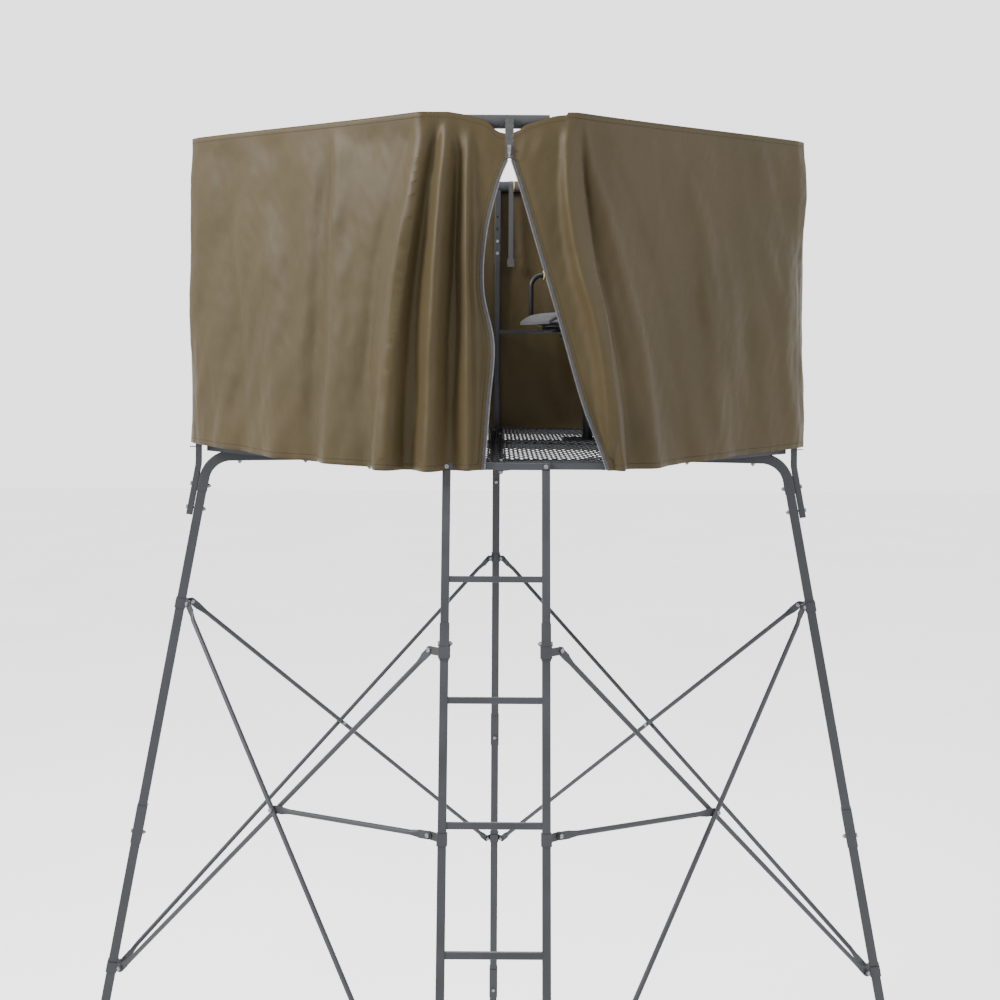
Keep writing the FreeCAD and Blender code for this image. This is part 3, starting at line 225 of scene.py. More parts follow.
# ---- finishes ---------------------------------------------------------------------------------
def powder_coat(name, colour, roughness=0.46):
    """Textured powder coat: fine orange peel, faint blotches and dust on the flats."""
    f = Finish(name)
    peel = f.noise(900.0, 2.0)
    blotch = f.noise(7.0, 4.0)
    dust = f.span(f.noise(38.0, 5.0, 0.65), 0.55, 0.8)
    paint = f.ramp(blotch, [(0.3, tinted(colour, 0.86)), (0.7, tinted(colour, 1.18))])
    shade = f.blend(dust * 0.22, paint, tinted(colour, 2.2))
    rough = f.span(blotch, 0.3, 0.7, roughness - 0.05, roughness + 0.08) + dust * 0.1
    return f.connect(Base_Color=shade, Roughness=rough, Metallic=0.0, Specular_IOR_Level=0.25,
                     Normal=f.bump(peel, 0.35, 0.0004))


def zinc(name):
    f = Finish(name)
    grain = f.noise(400.0, 3.0)
    stain = f.noise(60.0, 4.0)
    shade = f.ramp(stain, [(0.3, (0.10, 0.10, 0.105)), (0.7, (0.20, 0.20, 0.21))])
    return f.connect(Base_Color=shade, Metallic=0.85,
                     Roughness=f.span(grain, 0.2, 0.8, 0.36, 0.55), Normal=f.bump(grain, 0.2, 0.0003))


def foam(name, colour):
    """Closed-cell foam: tiny open cells on a soft skin."""
    f = Finish(name)
    cells = f.node("ShaderNodeTexVoronoi", {"feature": "F1"}, {"Vector": f.at(), "Scale": 700.0})[0]
    wave = f.noise(22.0, 3.0)
    shade = f.ramp(wave, [(0.3, tinted(colour, 0.8)), (0.75, tinted(colour, 1.5))])
    dents = f.bump(wave, 0.35, 0.004)
    return f.connect(Base_Color=shade, Roughness=f.span(wave, 0.2, 0.8, 0.74, 0.9),
                     Normal=f.bump(cells, 0.4, 0.0007, dents))


def rubber(name):
    f = Finish(name)
    grain = f.noise(350.0, 3.0)
    shade = f.ramp(f.noise(30.0, 3.0), [(0.3, (0.012, 0.012, 0.013)), (0.8, (0.03, 0.03, 0.03))])
    return f.connect(Base_Color=shade, Roughness=f.span(grain, 0.2, 0.8, 0.6, 0.8),
                     Normal=f.bump(grain, 0.4, 0.0005))


def weave(f, at, scale, depth, under=None):
    """A plain weave from two crossed sets of threads."""
    sets = [f.node("ShaderNodeTexWave", {"wave_type": "BANDS", "bands_direction": way},
                   {"Vector": at, "Scale": scale, "Distortion": 0.3})[1] for way in ("X", "Y")]
    return f.bump(sets[0] * sets[1], 0.5, depth, under)


def skirt_cloth(name, colour, sheen):
    """Proofed polyester: fine weave, soft creases, slight fading and stitched hems.
    The UV map holds metres: along the skirt, and down from its top edge."""
    f = Finish(name)
    place = f.at("UV")
    length = f.node("ShaderNodeAttribute", {"attribute_name": "hem"})[2]
    fade = f.noise(1.7, 3.0)
    mottle = f.noise(34.0, 6.0, 0.62)
    crease = f.noise(5.5, 4.0, 0.55, stretch=(1.0, 1.0, 0.45))
    cloth = f.ramp(fade, [(0.3, tinted(colour, 0.90)), (0.7, tinted(colour, 1.10))])
    cloth = f.blend(f.span(mottle, 0.35, 0.75) * 0.16, cloth, tinted(colour, 0.80))
    seam = f.span(length, 0.0155, 0.0170) * f.span(length, 0.0200, 0.0185)
    stitch = f.node("ShaderNodeTexWave", {"wave_type": "BANDS", "bands_direction": "X"},
                    {"Vector": place, "Scale": 70.0})[1]
    cloth = f.blend(seam * 0.55, cloth, tinted(colour, 0.45))
    fold = f.bump(crease, 0.55, 0.012)
    small = f.bump(mottle, 0.16, 0.002, fold)
    hem = f.bump(seam * stitch, 0.8, -0.0012, small)
    rough = f.span(crease, 0.2, 0.8, 0.46, 0.60) + seam * 0.1
    return f.connect(Base_Color=cloth, Roughness=rough, Sheen_Weight=sheen, Sheen_Roughness=0.45,
                     Specular_IOR_Level=0.14, Normal=weave(f, place, 190.0, 0.0003, hem))


def sling_cloth(name, colour):
    """Coarse black sling fabric over foam."""
    f = Finish(name)
    where = f.at()
    blot = f.noise(24.0, 4.0)
    shade = f.ramp(blot, [(0.3, tinted(colour, 0.75)), (0.75, tinted(colour, 1.6))])
    return f.connect(Base_Color=shade, Roughness=f.span(blot, 0.2, 0.8, 0.72, 0.9), Sheen_Weight=0.2,
                     Normal=weave(f, where, 120.0, 0.0008, f.bump(blot, 0.3, 0.004)))


def webbing(name, colour, rib=180.0):
    """Ribbed woven tape."""
    f = Finish(name)
    where = f.at()
    ribs = f.node("ShaderNodeTexWave", {"wave_type": "BANDS", "bands_direction": "Z"},
                  {"Vector": where, "Scale": rib, "Distortion": 0.4})[1]
    blot = f.noise(80.0, 3.0)
    shade = f.ramp(blot, [(0.3, tinted(colour, 0.8)), (0.8, tinted(colour, 1.5))])
    return f.connect(Base_Color=shade, Roughness=f.span(blot, 0.2, 0.8, 0.62, 0.8),
                     Normal=f.bump(ribs, 0.6, 0.0006))


# ---- modelling helpers --------------------------------------------------------------------------
def deselect():
    if bpy.context.mode != "OBJECT":
        bpy.ops.object.mode_set(mode="OBJECT")
    bpy.ops.object.select_all(action="DESELECT")


def only(piece):
    deselect()
    piece.select_set(True)
    bpy.context.view_layer.objects.active = piece


def settle(piece, name, body, slot, *materials):
    """Names a finished piece, bakes its place into its mesh and fixes it to its body."""
    only(piece)
    bpy.ops.object.transform_apply(location=True, rotation=True, scale=True)
    piece.name = piece.data.name = name
    piece.data.materials.clear()
    for material in materials:
        piece.data.materials.append(material)
    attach(piece, body)
    return piece


def modify(piece, kind, **settings):
    """Adds a modifier with these settings and applies it."""
    only(piece)
    modifier = piece.modifiers.new(kind.title(), kind)
    for key, value in settings.items():
        setattr(modifier, key, value)
    bpy.ops.object.modifier_apply(modifier=modifier.name)
    return piece


def smooth_by_angle(piece, degrees=35.0):
    only(piece)
    bpy.ops.object.shade_smooth_by_angle(angle=math.radians(degrees))


def grid_piece(name, points, uv=None, hem=None):
    """A sheet of cloth through rows of points, with its UV map in metres and its hem distance."""
    rows, columns = len(points), len(points[0])
    faces = [(r * columns + c, (r + 1) * columns + c, (r + 1) * columns + c + 1, r * columns + c + 1)
             for r in range(rows - 1) for c in range(columns - 1)]
    mesh = bpy.data.meshes.new(name)
    mesh.from_pydata([p for row in points for p in row], [], faces)
    if uv is not None:
        layer = mesh.uv_layers.new(name="UVMap")
        flat = [p for row in uv for p in row]
        for loop in mesh.loops:
            layer.data[loop.index].uv = flat[loop.vertex_index]
    if hem is not None:
        attribute = mesh.attributes.new("hem", "FLOAT", "POINT")
        attribute.data.foreach_set("value", np.array(hem, np.float32).ravel())
    piece = bpy.data.objects.new(name, mesh)
    bpy.context.collection.objects.link(piece)
    return piece


def along(points, t):
    """A smooth value at t through (t, value) points given in rising order of t."""
    ts = [p[0] for p in points]
    vs = [p[1] for p in points]
    if t <= ts[0]:
        return vs[0]
    if t >= ts[-1]:
        return vs[-1]
    i = max(k for k in range(len(ts) - 1) if ts[k] <= t)
    span = ts[i + 1] - ts[i]
    u = (t - ts[i]) / span
    before = (vs[i + 1] - vs[i - 1]) / (ts[i + 1] - ts[i - 1]) if i else (vs[1] - vs[0]) / span
    last = i + 2 >= len(ts)
    after = (vs[i + 1] - vs[i]) / span if last else (vs[i + 2] - vs[i]) / (ts[i + 2] - ts[i])
    h1, h2 = 2 * u ** 3 - 3 * u ** 2 + 1, u ** 3 - 2 * u ** 2 + u
    h3, h4 = 3 * u ** 2 - 2 * u ** 3, u ** 3 - u ** 2
    return h1 * vs[i] + h2 * span * before + h3 * vs[i + 1] + h4 * span * after


def smoothstep(t):
    t = min(1.0, max(0.0, t))
    return t * t * (3 - 2 * t)


def follow_rail(piece):
    """A piece between the deck and the rail gets its own copy of its mesh; how far it would shorten as the rail
    comes down is worked out, but it is not shortened.
    """
    drop = abs(JOINTS["rail_height"]["range_m"][0])
    keep = 1 - drop / (RAIL_Z - DECK_TOP)
    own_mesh(piece)


# ---- skirt ------------------------------------------------------------------------------------------
# Heights are from the deck's top, X from the middle of the ladder, and depths from the deck's front.
STANDOFF = 0.032              # skirt's outer face in front of the deck
SIDE_SEAM_FRONT, SIDE_SEAM_BACK = 0.586, 0.662  # the side corner's two bends
RAIL_REAR_HALF = 0.36
REAR_CORNER_OUT = 0.017       # skirt's rear corner beyond the rail's
FOLD_SCALE = 1.35
FOLD_INWARD, FOLD_OUTWARD = -0.026, 0.048  # how far a door flap may move off its line
DOOR_LEFT = [(-0.03, -0.040), (0.18, -0.025), (0.36, -0.013), (0.53, -0.046), (0.70, -0.037),
             (0.86, 0.002), (0.93, 0.030)]
DOOR_RIGHT = [(-0.03, 0.342), (0.04, 0.318), (0.17, 0.268), (0.42, 0.195), (0.66, 0.124),
              (0.86, 0.064), (0.93, 0.040)]
ZIP_MEET = 0.925
ZIP_X = 0.034
TOP_FRONT, TOP_CORNER = 1.069, 1.083
TOP_DIP = [(-0.16, 1.070), (-0.10, 1.060), (-0.034, 1.041), (-0.005, 1.012), (0.03, 1.004),
           (0.062, 1.013), (0.085, 1.030), (0.131, 1.045), (0.174, 1.057), (0.21, 1.061)]
LAPEL = [(-0.03, 0.368), (0.18, 0.345), (0.31, 0.325), (0.45, 0.296), (0.59, 0.252), (0.80, 0.215),
         (1.06, 0.208)]


def skirt_plan(side, height):
    """The skirt's line in plan from the front corner to its rear seam, at a height above the deck."""
    t = smoothstep(height / (RAIL_Z - DECK_TOP))
    corner = SKIRT_HIGH.x
    front = 0.345 + (0.243 - 0.345) * t
    y = FRONT_Y - STANDOFF
    s_low, s_high = FRONT_Y + SIDE_SEAM_FRONT, FRONT_Y + SIDE_SEAM_BACK
    return [Vector((side * front, y)), Vector((side * corner, s_low)), Vector((side * corner, s_high))]


def place_on(line, distance, rounding=0.05):
    """The point and tangent at a distance along a plan line, with soft corners."""
    def raw(d):
        for a, b in zip(line, line[1:]):
            step = (b - a).length
            if d <= step:
                return a + (b - a) * (d / step)
            d -= step
        return line[-1] + (line[-1] - line[-2]).normalized() * d
    before, after = raw(max(0.0, distance - rounding)), raw(distance + rounding)
    middle = raw(distance)
    point = middle * 0.5 + (before + after) * 0.25
    tangent = (after - before).normalized()
    return point, tangent


def ridge(p, height, centre, width, amount, skew=0.0):
    """One fold: its centre, width and depth may vary with height."""
    c = along(centre, height) if isinstance(centre, list) else centre
    w = along(width, height) if isinstance(width, list) else width
    a = along(amount, height) if isinstance(amount, list) else amount
    d = (p - c) / w
    if skew:
        d = d * (1 + skew) if d > 0 else d * (1 - skew)
    return a * math.exp(-d * d)


RIGHT_FOLDS = [
    (LAPEL, [(0, 0.045), (1.06, 0.022)], [(0, 0.034), (0.5, 0.030), (0.9, 0.020), (1.06, 0.006)], -0.45),
    ([(0, 0.44), (0.5, 0.345), (1.06, 0.238)], [(0, 0.050), (1.06, 0.014)],
     [(0, -0.026), (0.6, -0.020), (1.0, -0.008), (1.06, 0.0)], 0.2),
    ([(0, 0.54), (0.5, 0.43), (1.06, 0.262)], [(0, 0.055), (1.06, 0.018)],
     [(0, 0.020), (0.6, 0.014), (1.06, 0.004)], 0.0),
    ([(0, 0.70), (0.6, 0.55), (1.06, 0.32)], [(0, 0.06), (1.06, 0.03)],
     [(0, -0.012), (0.6, -0.009), (1.06, 0.0)], 0.3),
    ([(0, 0.86), (0.5, 0.80), (1.06, 0.72)], [(0, 0.07), (1.06, 0.05)],
     [(0, 0.013), (0.5, 0.009), (1.06, 0.002)], -0.2),
    ([(0, 1.02), (0.5, 1.0), (1.06, 0.78)], 0.05, [(0, -0.008), (0.5, -0.007), (1.06, 0.0)], 0.2),
    ([(0, 1.24), (0.6, 1.20), (1.06, 1.27)], 0.05, [(0, 0.008), (0.6, 0.006), (1.06, 0.0)], 0.0),
]
LEFT_FOLDS = [
    ([(0, 0.215), (0.3, 0.205), (0.7, 0.185), (1.06, 0.160)], [(0, 0.038), (1.06, 0.017)],
     [(0, 0.036), (0.5, 0.032), (0.9, 0.020), (1.06, 0.006)], 0.3),
    ([(0, 0.150), (0.4, 0.140), (0.8, 0.128), (1.06, 0.125)], [(0, 0.030), (1.06, 0.014)],
     [(0, -0.018), (0.5, -0.026), (0.9, -0.014), (1.06, 0.0)], 0.0),
    ([(0, 0.085), (0.4, 0.090), (0.8, 0.095), (1.06, 0.085)], [(0, 0.026), (1.06, 0.014)],
     [(0, 0.020), (0.45, 0.026), (0.9, 0.014), (1.06, 0.0)], 0.0),
    ([(0, 0.275), (0.5, 0.255), (1.06, 0.185)], [(0, 0.034), (1.06, 0.016)],
     [(0, -0.026), (0.5, -0.022), (0.95, -0.010), (1.06, 0.0)], 0.2),
    ([(0, 0.345), (0.5, 0.315), (1.06, 0.215)], [(0, 0.040), (1.06, 0.02)],
     [(0, 0.022), (0.5, 0.016), (1.06, 0.002)], 0.0),
    ([(0, 0.43), (0.5, 0.42), (1.06, 0.27)], [(0, 0.045), (1.06, 0.025)],
     [(0, -0.016), (0.5, -0.012), (1.06, 0.0)], 0.0),
    ([(0, 0.57), (0.5, 0.56), (1.06, 0.585)], [(0, 0.055), (1.06, 0.03)],
     [(0, 0.022), (0.5, 0.017), (0.95, 0.012), (1.06, 0.003)], 0.2),
    ([(0, 0.68), (0.5, 0.66), (1.06, 0.63)], [(0, 0.05), (1.06, 0.03)],
     [(0, -0.014), (0.5, -0.012), (1.06, 0.0)], 0.2),
    ([(0, 0.84), (0.5, 0.86), (1.06, 0.95)], [(0, 0.07), (1.06, 0.05)],
     [(0, 0.012), (0.5, 0.009), (1.06, 0.002)], 0.0),
    ([(0, 1.03), (0.5, 1.06), (1.06, 1.17)], 0.05, [(0, -0.008), (0.5, -0.008), (1.06, 0.0)], 0.0),
]


def creases(p, height, seed, amount=1.0):
    """Small soft wrinkles, longer up and down than across."""
    wide = noise.noise(Vector((p * 5.0, height * 2.2, seed)))
    fine = noise.noise(Vector((p * 15.0 + height * 4.0, height * 5.0, seed + 7.3)))
    tiny = noise.noise(Vector((p * 34.0 - height * 9.0, height * 17.0, seed + 3.1)))
    return amount * (0.0130 * wide + 0.0052 * fine + 0.0014 * tiny)


def top_edge(x, corner_share):
    """Height of the skirt's upper edge above the deck."""
    level = TOP_FRONT + (TOP_CORNER - TOP_FRONT) * corner_share
    if abs(x) > 0.215 or not TOP_DIP[0][0] <= x <= TOP_DIP[-1][0]:
        return level
    return along(TOP_DIP, x)


def cut_size(side, sizes):
    """A panel's flat width, height and area as it is cut, from the lines it hangs along."""
    height = TOP_FRONT + sizes.hem_drop
    if side == 0:
        line = rear_line()
        run = sum((b - a).length for a, b in zip(line, line[1:])) * sizes.fullness
        return run, height, run * height
    runs = []
    for k in range(12):
        level = TOP_FRONT - (k + 0.5) / 12 * height
        door = DOOR_RIGHT if side > 0 else DOOR_LEFT
        edge = ZIP_X if level > ZIP_MEET else along(door, level)
        line = skirt_plan(side, level)
        runs.append((abs(line[0].x - edge) + sum((b - a).length for a, b in zip(line, line[1:])))
                    * sizes.fullness)
    return max(runs), height, sum(runs) / len(runs) * height


def skirt_flap(side, depth, hem_drop, columns=190, rows=110):
    """One door flap with its side panel, from the door's edge to the rear seam."""
    folds = RIGHT_FOLDS if side > 0 else LEFT_FOLDS
    door = DOOR_RIGHT if side > 0 else DOOR_LEFT
    points, uv, hems = [], [], []
    for r in range(rows + 1):
        v = r / rows
        row, flat, hem_row = [], [], []
        for c in range(columns + 1):
            u = (c / columns) ** 1.25
            guess = TOP_FRONT - v * (TOP_FRONT + hem_drop)
            for _ in range(3):
                edge = ZIP_X + side * 0.001 if guess > ZIP_MEET else along(door, guess)
                line = skirt_plan(side, guess)
                front_run = abs(line[0].x - edge)
                total = front_run + (line[1] - line[0]).length + (line[2] - line[1]).length
                d = u * total
                share = smoothstep((d - front_run) / (total - front_run))
                x_here = edge + side * min(d, front_run)
                top = top_edge(x_here if d < front_run else side, share)
                bottom = -hem_drop + (hem_drop + 0.004) * share ** 1.5
                bottom -= 0.003 * math.sin(d * 9.0) * (1 - share)
                guess = top + (bottom - top) * v
            if d < front_run:
                point, tangent = Vector((x_here, line[0].y)), Vector((side, 0))
            else:
                point, tangent = place_on(line, d - front_run)
                ease = 1 - smoothstep((d - front_run) / 0.06)
                tangent = tangent.lerp(Vector((side, 0)), ease * 0.5).normalized()
            outward = Vector((tangent.y, -tangent.x)) * side
            p = abs(edge) + d if side > 0 else d - edge
            p = side * x_here if d < front_run else abs(line[0].x) + d - front_run
            push = sum(ridge(p, guess, *fold) for fold in folds) + creases(p, guess, 2.0 + side)
            calm = smoothstep((top - guess) / 0.09) * smoothstep((total - d) / 0.05)
            near_door = smoothstep((d - 0.012) / 0.035)
            push *= FOLD_SCALE * depth * calm * near_door
            push = min(max(push, FOLD_INWARD), FOLD_OUTWARD)
            row.append((point.x + outward.x * push, point.y + outward.y * push, DECK_TOP + guess))
            flat.append((d, v * (TOP_FRONT + hem_drop)))
            hem_row.append(min(guess - bottom, top - guess, d + (0.0 if guess < ZIP_MEET else 0.02)))
        points.append(row)
        uv.append(flat)
        hems.append(hem_row)
    if side > 0:
        points, uv, hems = ([row[::-1] for row in rows_] for rows_ in (points, uv, hems))
    return points, uv, hems


def rear_line():
    """The rear panel's line in plan, from the left rear seam to the right one."""
    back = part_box("cover_rear")[1].y
    half, seam_y = RAIL_REAR_HALF + REAR_CORNER_OUT, FRONT_Y + SIDE_SEAM_BACK
    return [Vector((-SKIRT_HIGH.x, seam_y)), Vector((-half, back)), Vector((half, back)),
            Vector((SKIRT_HIGH.x, seam_y))]


def rear_panel(depth, columns=210, rows=90):
    """The skirt behind, from one rear seam round the back of the rail to the other."""
    line = rear_line()
    total = sum((b - a).length for a, b in zip(line, line[1:]))
    points, uv, hems = [], [], []
    for r in range(rows + 1):
        v = r / rows
        row, flat, hem_row = [], [], []
        for c in range(columns + 1):
            d = total * c / columns
            point, tangent = place_on(line, d)
            ends = min(d, total - d)
            share = 1 - smoothstep(ends / 0.9)
            top = TOP_FRONT + (TOP_CORNER - TOP_FRONT) * share
            bottom = -0.016 + 0.020 * share
            height = top + (bottom - top) * v
            outward = Vector((-tangent.y, tangent.x))
            push = 0.0
            for k in range(9):
                centre = total * (k + 0.5 + 0.22 * math.sin(k * 2.4)) / 9
                lean = 0.06 * math.sin(k * 1.7)
                push += ridge(d, height, centre + lean * v, 0.045 + 0.03 * v,
                              (0.010 + 0.012 * v) * (1 if k % 2 else -0.8))
            push += creases(d, height, 9.0, 1.3)
            push *= depth * smoothstep((top - height) / 0.09) * smoothstep(ends / 0.05)
            push = max(push, -0.018)
            row.append((point.x + outward.x * push, point.y + outward.y * push, DECK_TOP + height))
            flat.append((d, v * TOP_FRONT))
            hem_row.append(min(height - bottom, top - height))
        points.append(row)
        uv.append(flat)
        hems.append(hem_row)
    return [row[::-1] for row in points], [row[::-1] for row in uv], [row[::-1] for row in hems]


class STAND_OT_skirt(bpy.types.Operator):
    """Make the fabric skirt with its two door flaps"""
    bl_idname = "stand.skirt"
    bl_label = "Skirt"

    def execute(self, context):
        sizes = context.scene.stand_skirt
        outer = skirt_cloth("skirt_fabric", tuple(sizes.fabric), 0.04)
        lining = skirt_cloth("skirt_lining", tuple(sizes.lining), 0.03)
        for side, name, node in ((-1, "skirt_left", "cover_left"), (1, "skirt_right", "cover_right")):
            points, uv, hems = skirt_flap(side, sizes.fold_depth, sizes.hem_drop)
            self.finish(grid_piece(name, points, uv, hems), name, node, sizes, outer, lining, side)
        points, uv, hems = rear_panel(sizes.fold_depth)
        self.finish(grid_piece("skirt_rear", points, uv, hems), "skirt_rear", "cover_rear", sizes, outer,
                    lining, 0)
        return {"FINISHED"}

    def finish(self, piece, name, node, sizes, outer, lining, side):
        width, height, area = cut_size(side, sizes)
        for polygon in piece.data.polygons:
            polygon.use_smooth = True
        modify(piece, "SOLIDIFY", thickness=sizes.thickness, offset=-1.0, use_even_offset=False,
               material_offset=1, material_offset_rim=0)
        settle(piece, name, "stand", "cover_fabric", outer, lining)
        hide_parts(node)
        follow_rail(piece)


class STAND_OT_door_tape(bpy.types.Operator):
    """Sew the zip tape along the door's edges and round the top of the zip"""
    bl_idname = "stand.door_tape"
    bl_label = "Door tape"

    def execute(self, context):
        sizes = context.scene.stand_skirt
        tape = webbing("zip_tape_cloth", (0.010, 0.010, 0.011), 500.0)
        teeth = zinc("zip_teeth")
        for side, name in ((-1, "door_tape_left"), (1, "door_tape_right")):
            door = DOOR_RIGHT if side > 0 else DOOR_LEFT
            rows = []
            count = 260
            for r in range(count + 1):
                z = ZIP_MEET - 0.002 - (ZIP_MEET - 0.002 + 0.022) * r / count
                edge = along(door, z)
                pucker = 0.0007 * math.sin(r * 0.9) + 0.0004 * math.sin(r * 0.37)
                y = FRONT_Y - 0.0342 + 0.0003 * math.sin(r * 0.5)
                width = sizes.tape_width
                offsets = (-0.35 * width, 0.0, 0.45 * width, 0.65 * width + pucker)
                lifts = (0.0, -0.0009, -0.0012, -0.0004)
                rows.append([(edge + side * o, y + lift, DECK_TOP + z) for o, lift in zip(offsets, lifts)])
            if side < 0:
                rows = [row[::-1] for row in rows]
            piece = grid_piece(name, rows)
            modify(piece, "SOLIDIFY", thickness=0.0014, offset=-1.0)
            smooth_by_angle(piece, 60)
            settle(piece, name, "stand", "zip_tape", tape)
            follow_rail(piece)
            self.coil(side, door, teeth)
        self.closed_tape(tape)
        return {"FINISHED"}

    def closed_tape(self, tape):
        """The joined tape above the slider, puckered by its stitching."""
        low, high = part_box("zipper_tape")
        count = 44
        rows = []
        for r in range(count + 1):
            z = high.z + (low.z - high.z) * r / count
            pucker = 0.0010 * math.sin(r * 1.3)
            y = low.y + 0.0004 * math.sin(r * 0.8)
            rows.append([(low.x - pucker, y, z), (ZIP_X - 0.003, y - 0.0008, z), (ZIP_X, y - 0.0014, z),
                         (ZIP_X + 0.003, y - 0.0008, z), (high.x + pucker, y, z)])
        piece = grid_piece("closed_zip", rows)
        modify(piece, "SOLIDIFY", thickness=0.0014, offset=-1.0)
        smooth_by_angle(piece, 60)
        settle(piece, "closed_zip", "stand", "zip_tape", tape)
        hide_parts("zipper_tape")
        follow_rail(piece)

    def coil(self, side, door, teeth):
        """The zip's teeth: one small block copied down the door's edge."""
        mesh = bpy.data.meshes.new("teeth")
        build = bmesh.new()
        step, z = 0.0052, ZIP_MEET - 0.006
        while z > -0.018:
            edge = along(door, z)
            slope = (along(door, z + 0.004) - along(door, z - 0.004)) / 0.008
            place = (Matrix.Translation((edge - side * 0.0040, FRONT_Y - 0.0352, DECK_TOP + z))
                     @ Matrix.Rotation(math.atan(slope), 4, "Y")
                     @ Matrix.Diagonal((0.0036, 0.0020, 0.0026, 1)))
            bmesh.ops.create_cube(build, size=1.0, matrix=place)
            z -= step
        build.to_mesh(mesh)
        build.free()
        name = "zip_teeth_right" if side > 0 else "zip_teeth_left"
        piece = bpy.data.objects.new(name, mesh)
        bpy.context.collection.objects.link(piece)
        settle(piece, name, "stand", "zip_metal", teeth)
        follow_rail(piece)


# ---- deck ----------------------------------------------------------------------------------------------
DIAMOND_REACH = 2.4           # across the turned lattice, so that its corners pass the deck's
DECK_FRONT_HALF, DECK_REAR_HALF = 0.330, 0.380
DECK_CORNER_BACK = 0.615      # deck's side corner behind its front


class STAND_OT_deck_mesh(bpy.types.Operator):
    """Make the expanded metal of the deck"""
    bl_idname = "stand.deck_mesh"
    bl_label = "Deck mesh"

    def execute(self, context):
        sizes = context.scene.stand_deck
        paint = powder_coat("mesh_coat", tinted(context.scene.stand_finish.paint, 0.95), 0.5)
        for side, name, node in ((1, "expanded_right", "deck_mesh_right"),
                                 (-1, "expanded_left", "deck_mesh_left")):
            low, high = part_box(node)
            cells = int(DIAMOND_REACH / sizes.mesh_short)
            deselect()
            bpy.ops.mesh.primitive_grid_add(x_subdivisions=cells, y_subdivisions=cells, size=1.0,
                                            location=(0, 0, 0))
            piece = context.object
            turned = Matrix.Rotation(math.radians(45), 4, "Z")
            stretch = Matrix.Diagonal((cells * sizes.mesh_short / math.sqrt(2),
                                       cells * sizes.mesh_long / math.sqrt(2), 1, 1))
            piece.data.transform(Matrix.Translation((side * 0.5, (low.y + high.y) / 2, high.z - 0.0018))
                                 @ stretch @ turned)
            bpy.ops.object.mode_set(mode="EDIT")
            for point, normal in self.cuts(side, low, high):
                bpy.ops.mesh.select_all(action="SELECT")
                bpy.ops.mesh.bisect(plane_co=(*point, 0), plane_no=(*normal, 0), clear_outer=True)
            bpy.ops.object.mode_set(mode="OBJECT")
            modify(piece, "WIREFRAME", thickness=sizes.strand, use_even_offset=False, use_replace=True,
                   use_boundary=True, offset=0.0)
            settle(piece, name, "stand", "mesh_paint", paint)
            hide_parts(node)
        return {"FINISHED"}

    def cuts(self, side, low, high):
        """The lines of a deck half's edge, each with its outward normal."""
        corner = Vector((max(abs(low.x), abs(high.x)), low.y + DECK_CORNER_BACK))
        a, b = Vector((DECK_FRONT_HALF, low.y)), Vector((DECK_REAR_HALF, high.y))
        n1 = Vector(((corner - a).y, -(corner - a).x)).normalized()
        n2 = Vector(((b - corner).y, -(b - corner).x)).normalized()
        inset = 0.002
        found = [(Vector((inset, 0)), Vector((-1, 0))), (Vector((0, low.y + inset)), Vector((0, -1))),
                 (Vector((0, high.y - inset)), Vector((0, 1))), (a - n1 * inset, n1), (b - n2 * inset, n2)]
        return [(Vector((p.x * side, p.y)), Vector((n.x * side, n.y))) for p, n in found]


# ---- seats ---------------------------------------------------------------------------------------------
def seat_place(label):
    """The seat's own axes: from a seat facing the ladder at the origin to its place and heading."""
    joint = JOINTS["seat_%s_swivel" % label]
    turn = math.radians(-75.0 if label == "right" else 0.0)
    x, y, _ = joint["pos_m"]
    return Matrix.Translation((x, y, DECK_TOP)) @ Matrix.Rotation(turn, 4, "Z")


def soft_block(width, depth, height, crown, pull, cuts=26, roll=0.0):
    """A padded block: crowned faces, and sides that draw in between the corners."""
    deselect()
    bpy.ops.mesh.primitive_cube_add(size=1.0, location=(0, 0, 0))
    piece = bpy.context.object
    bpy.ops.object.mode_set(mode="EDIT")
    bpy.ops.mesh.select_all(action="SELECT")
    bpy.ops.mesh.subdivide(number_cuts=cuts)
    bpy.ops.object.mode_set(mode="OBJECT")
    for vertex in piece.data.vertices:
        x, y, z = vertex.co * 2
        edge_x, edge_y = 1 - x * x, 1 - y * y
        puff = (edge_x * edge_y) ** 0.5 if edge_x * edge_y > 0 else 0.0
        rim = max(abs(x), abs(y))
        thin = 1 - 0.45 * smoothstep((rim - 0.86) / 0.14)
        wrinkle = 0.0016 * noise.noise(Vector((x * 4, y * 4, z * 2)))
        channel = sum(math.exp(-((y - at) / 0.022) ** 2) for at in (-0.45, 0.0, 0.45))
        px = x * width / 2 * (1 - pull * edge_y * abs(x) ** 6)
        py = y * depth / 2 * (1 - pull * edge_x * abs(y) ** 6)
        pz = z * height / 2 * thin + (crown * puff + wrinkle - 0.004 * channel) * (z if z > 0 else z * 0.3)
        if roll and y < -0.72:
            bend = (-0.72 - y) / 0.28
            pz -= roll * bend ** 1.6
            py += 0.006 * bend
        vertex.co = (px, py, pz)
    modify(piece, "SUBSURF", levels=1, render_levels=1)
    for polygon in piece.data.polygons:
        polygon.use_smooth = True
    return piece


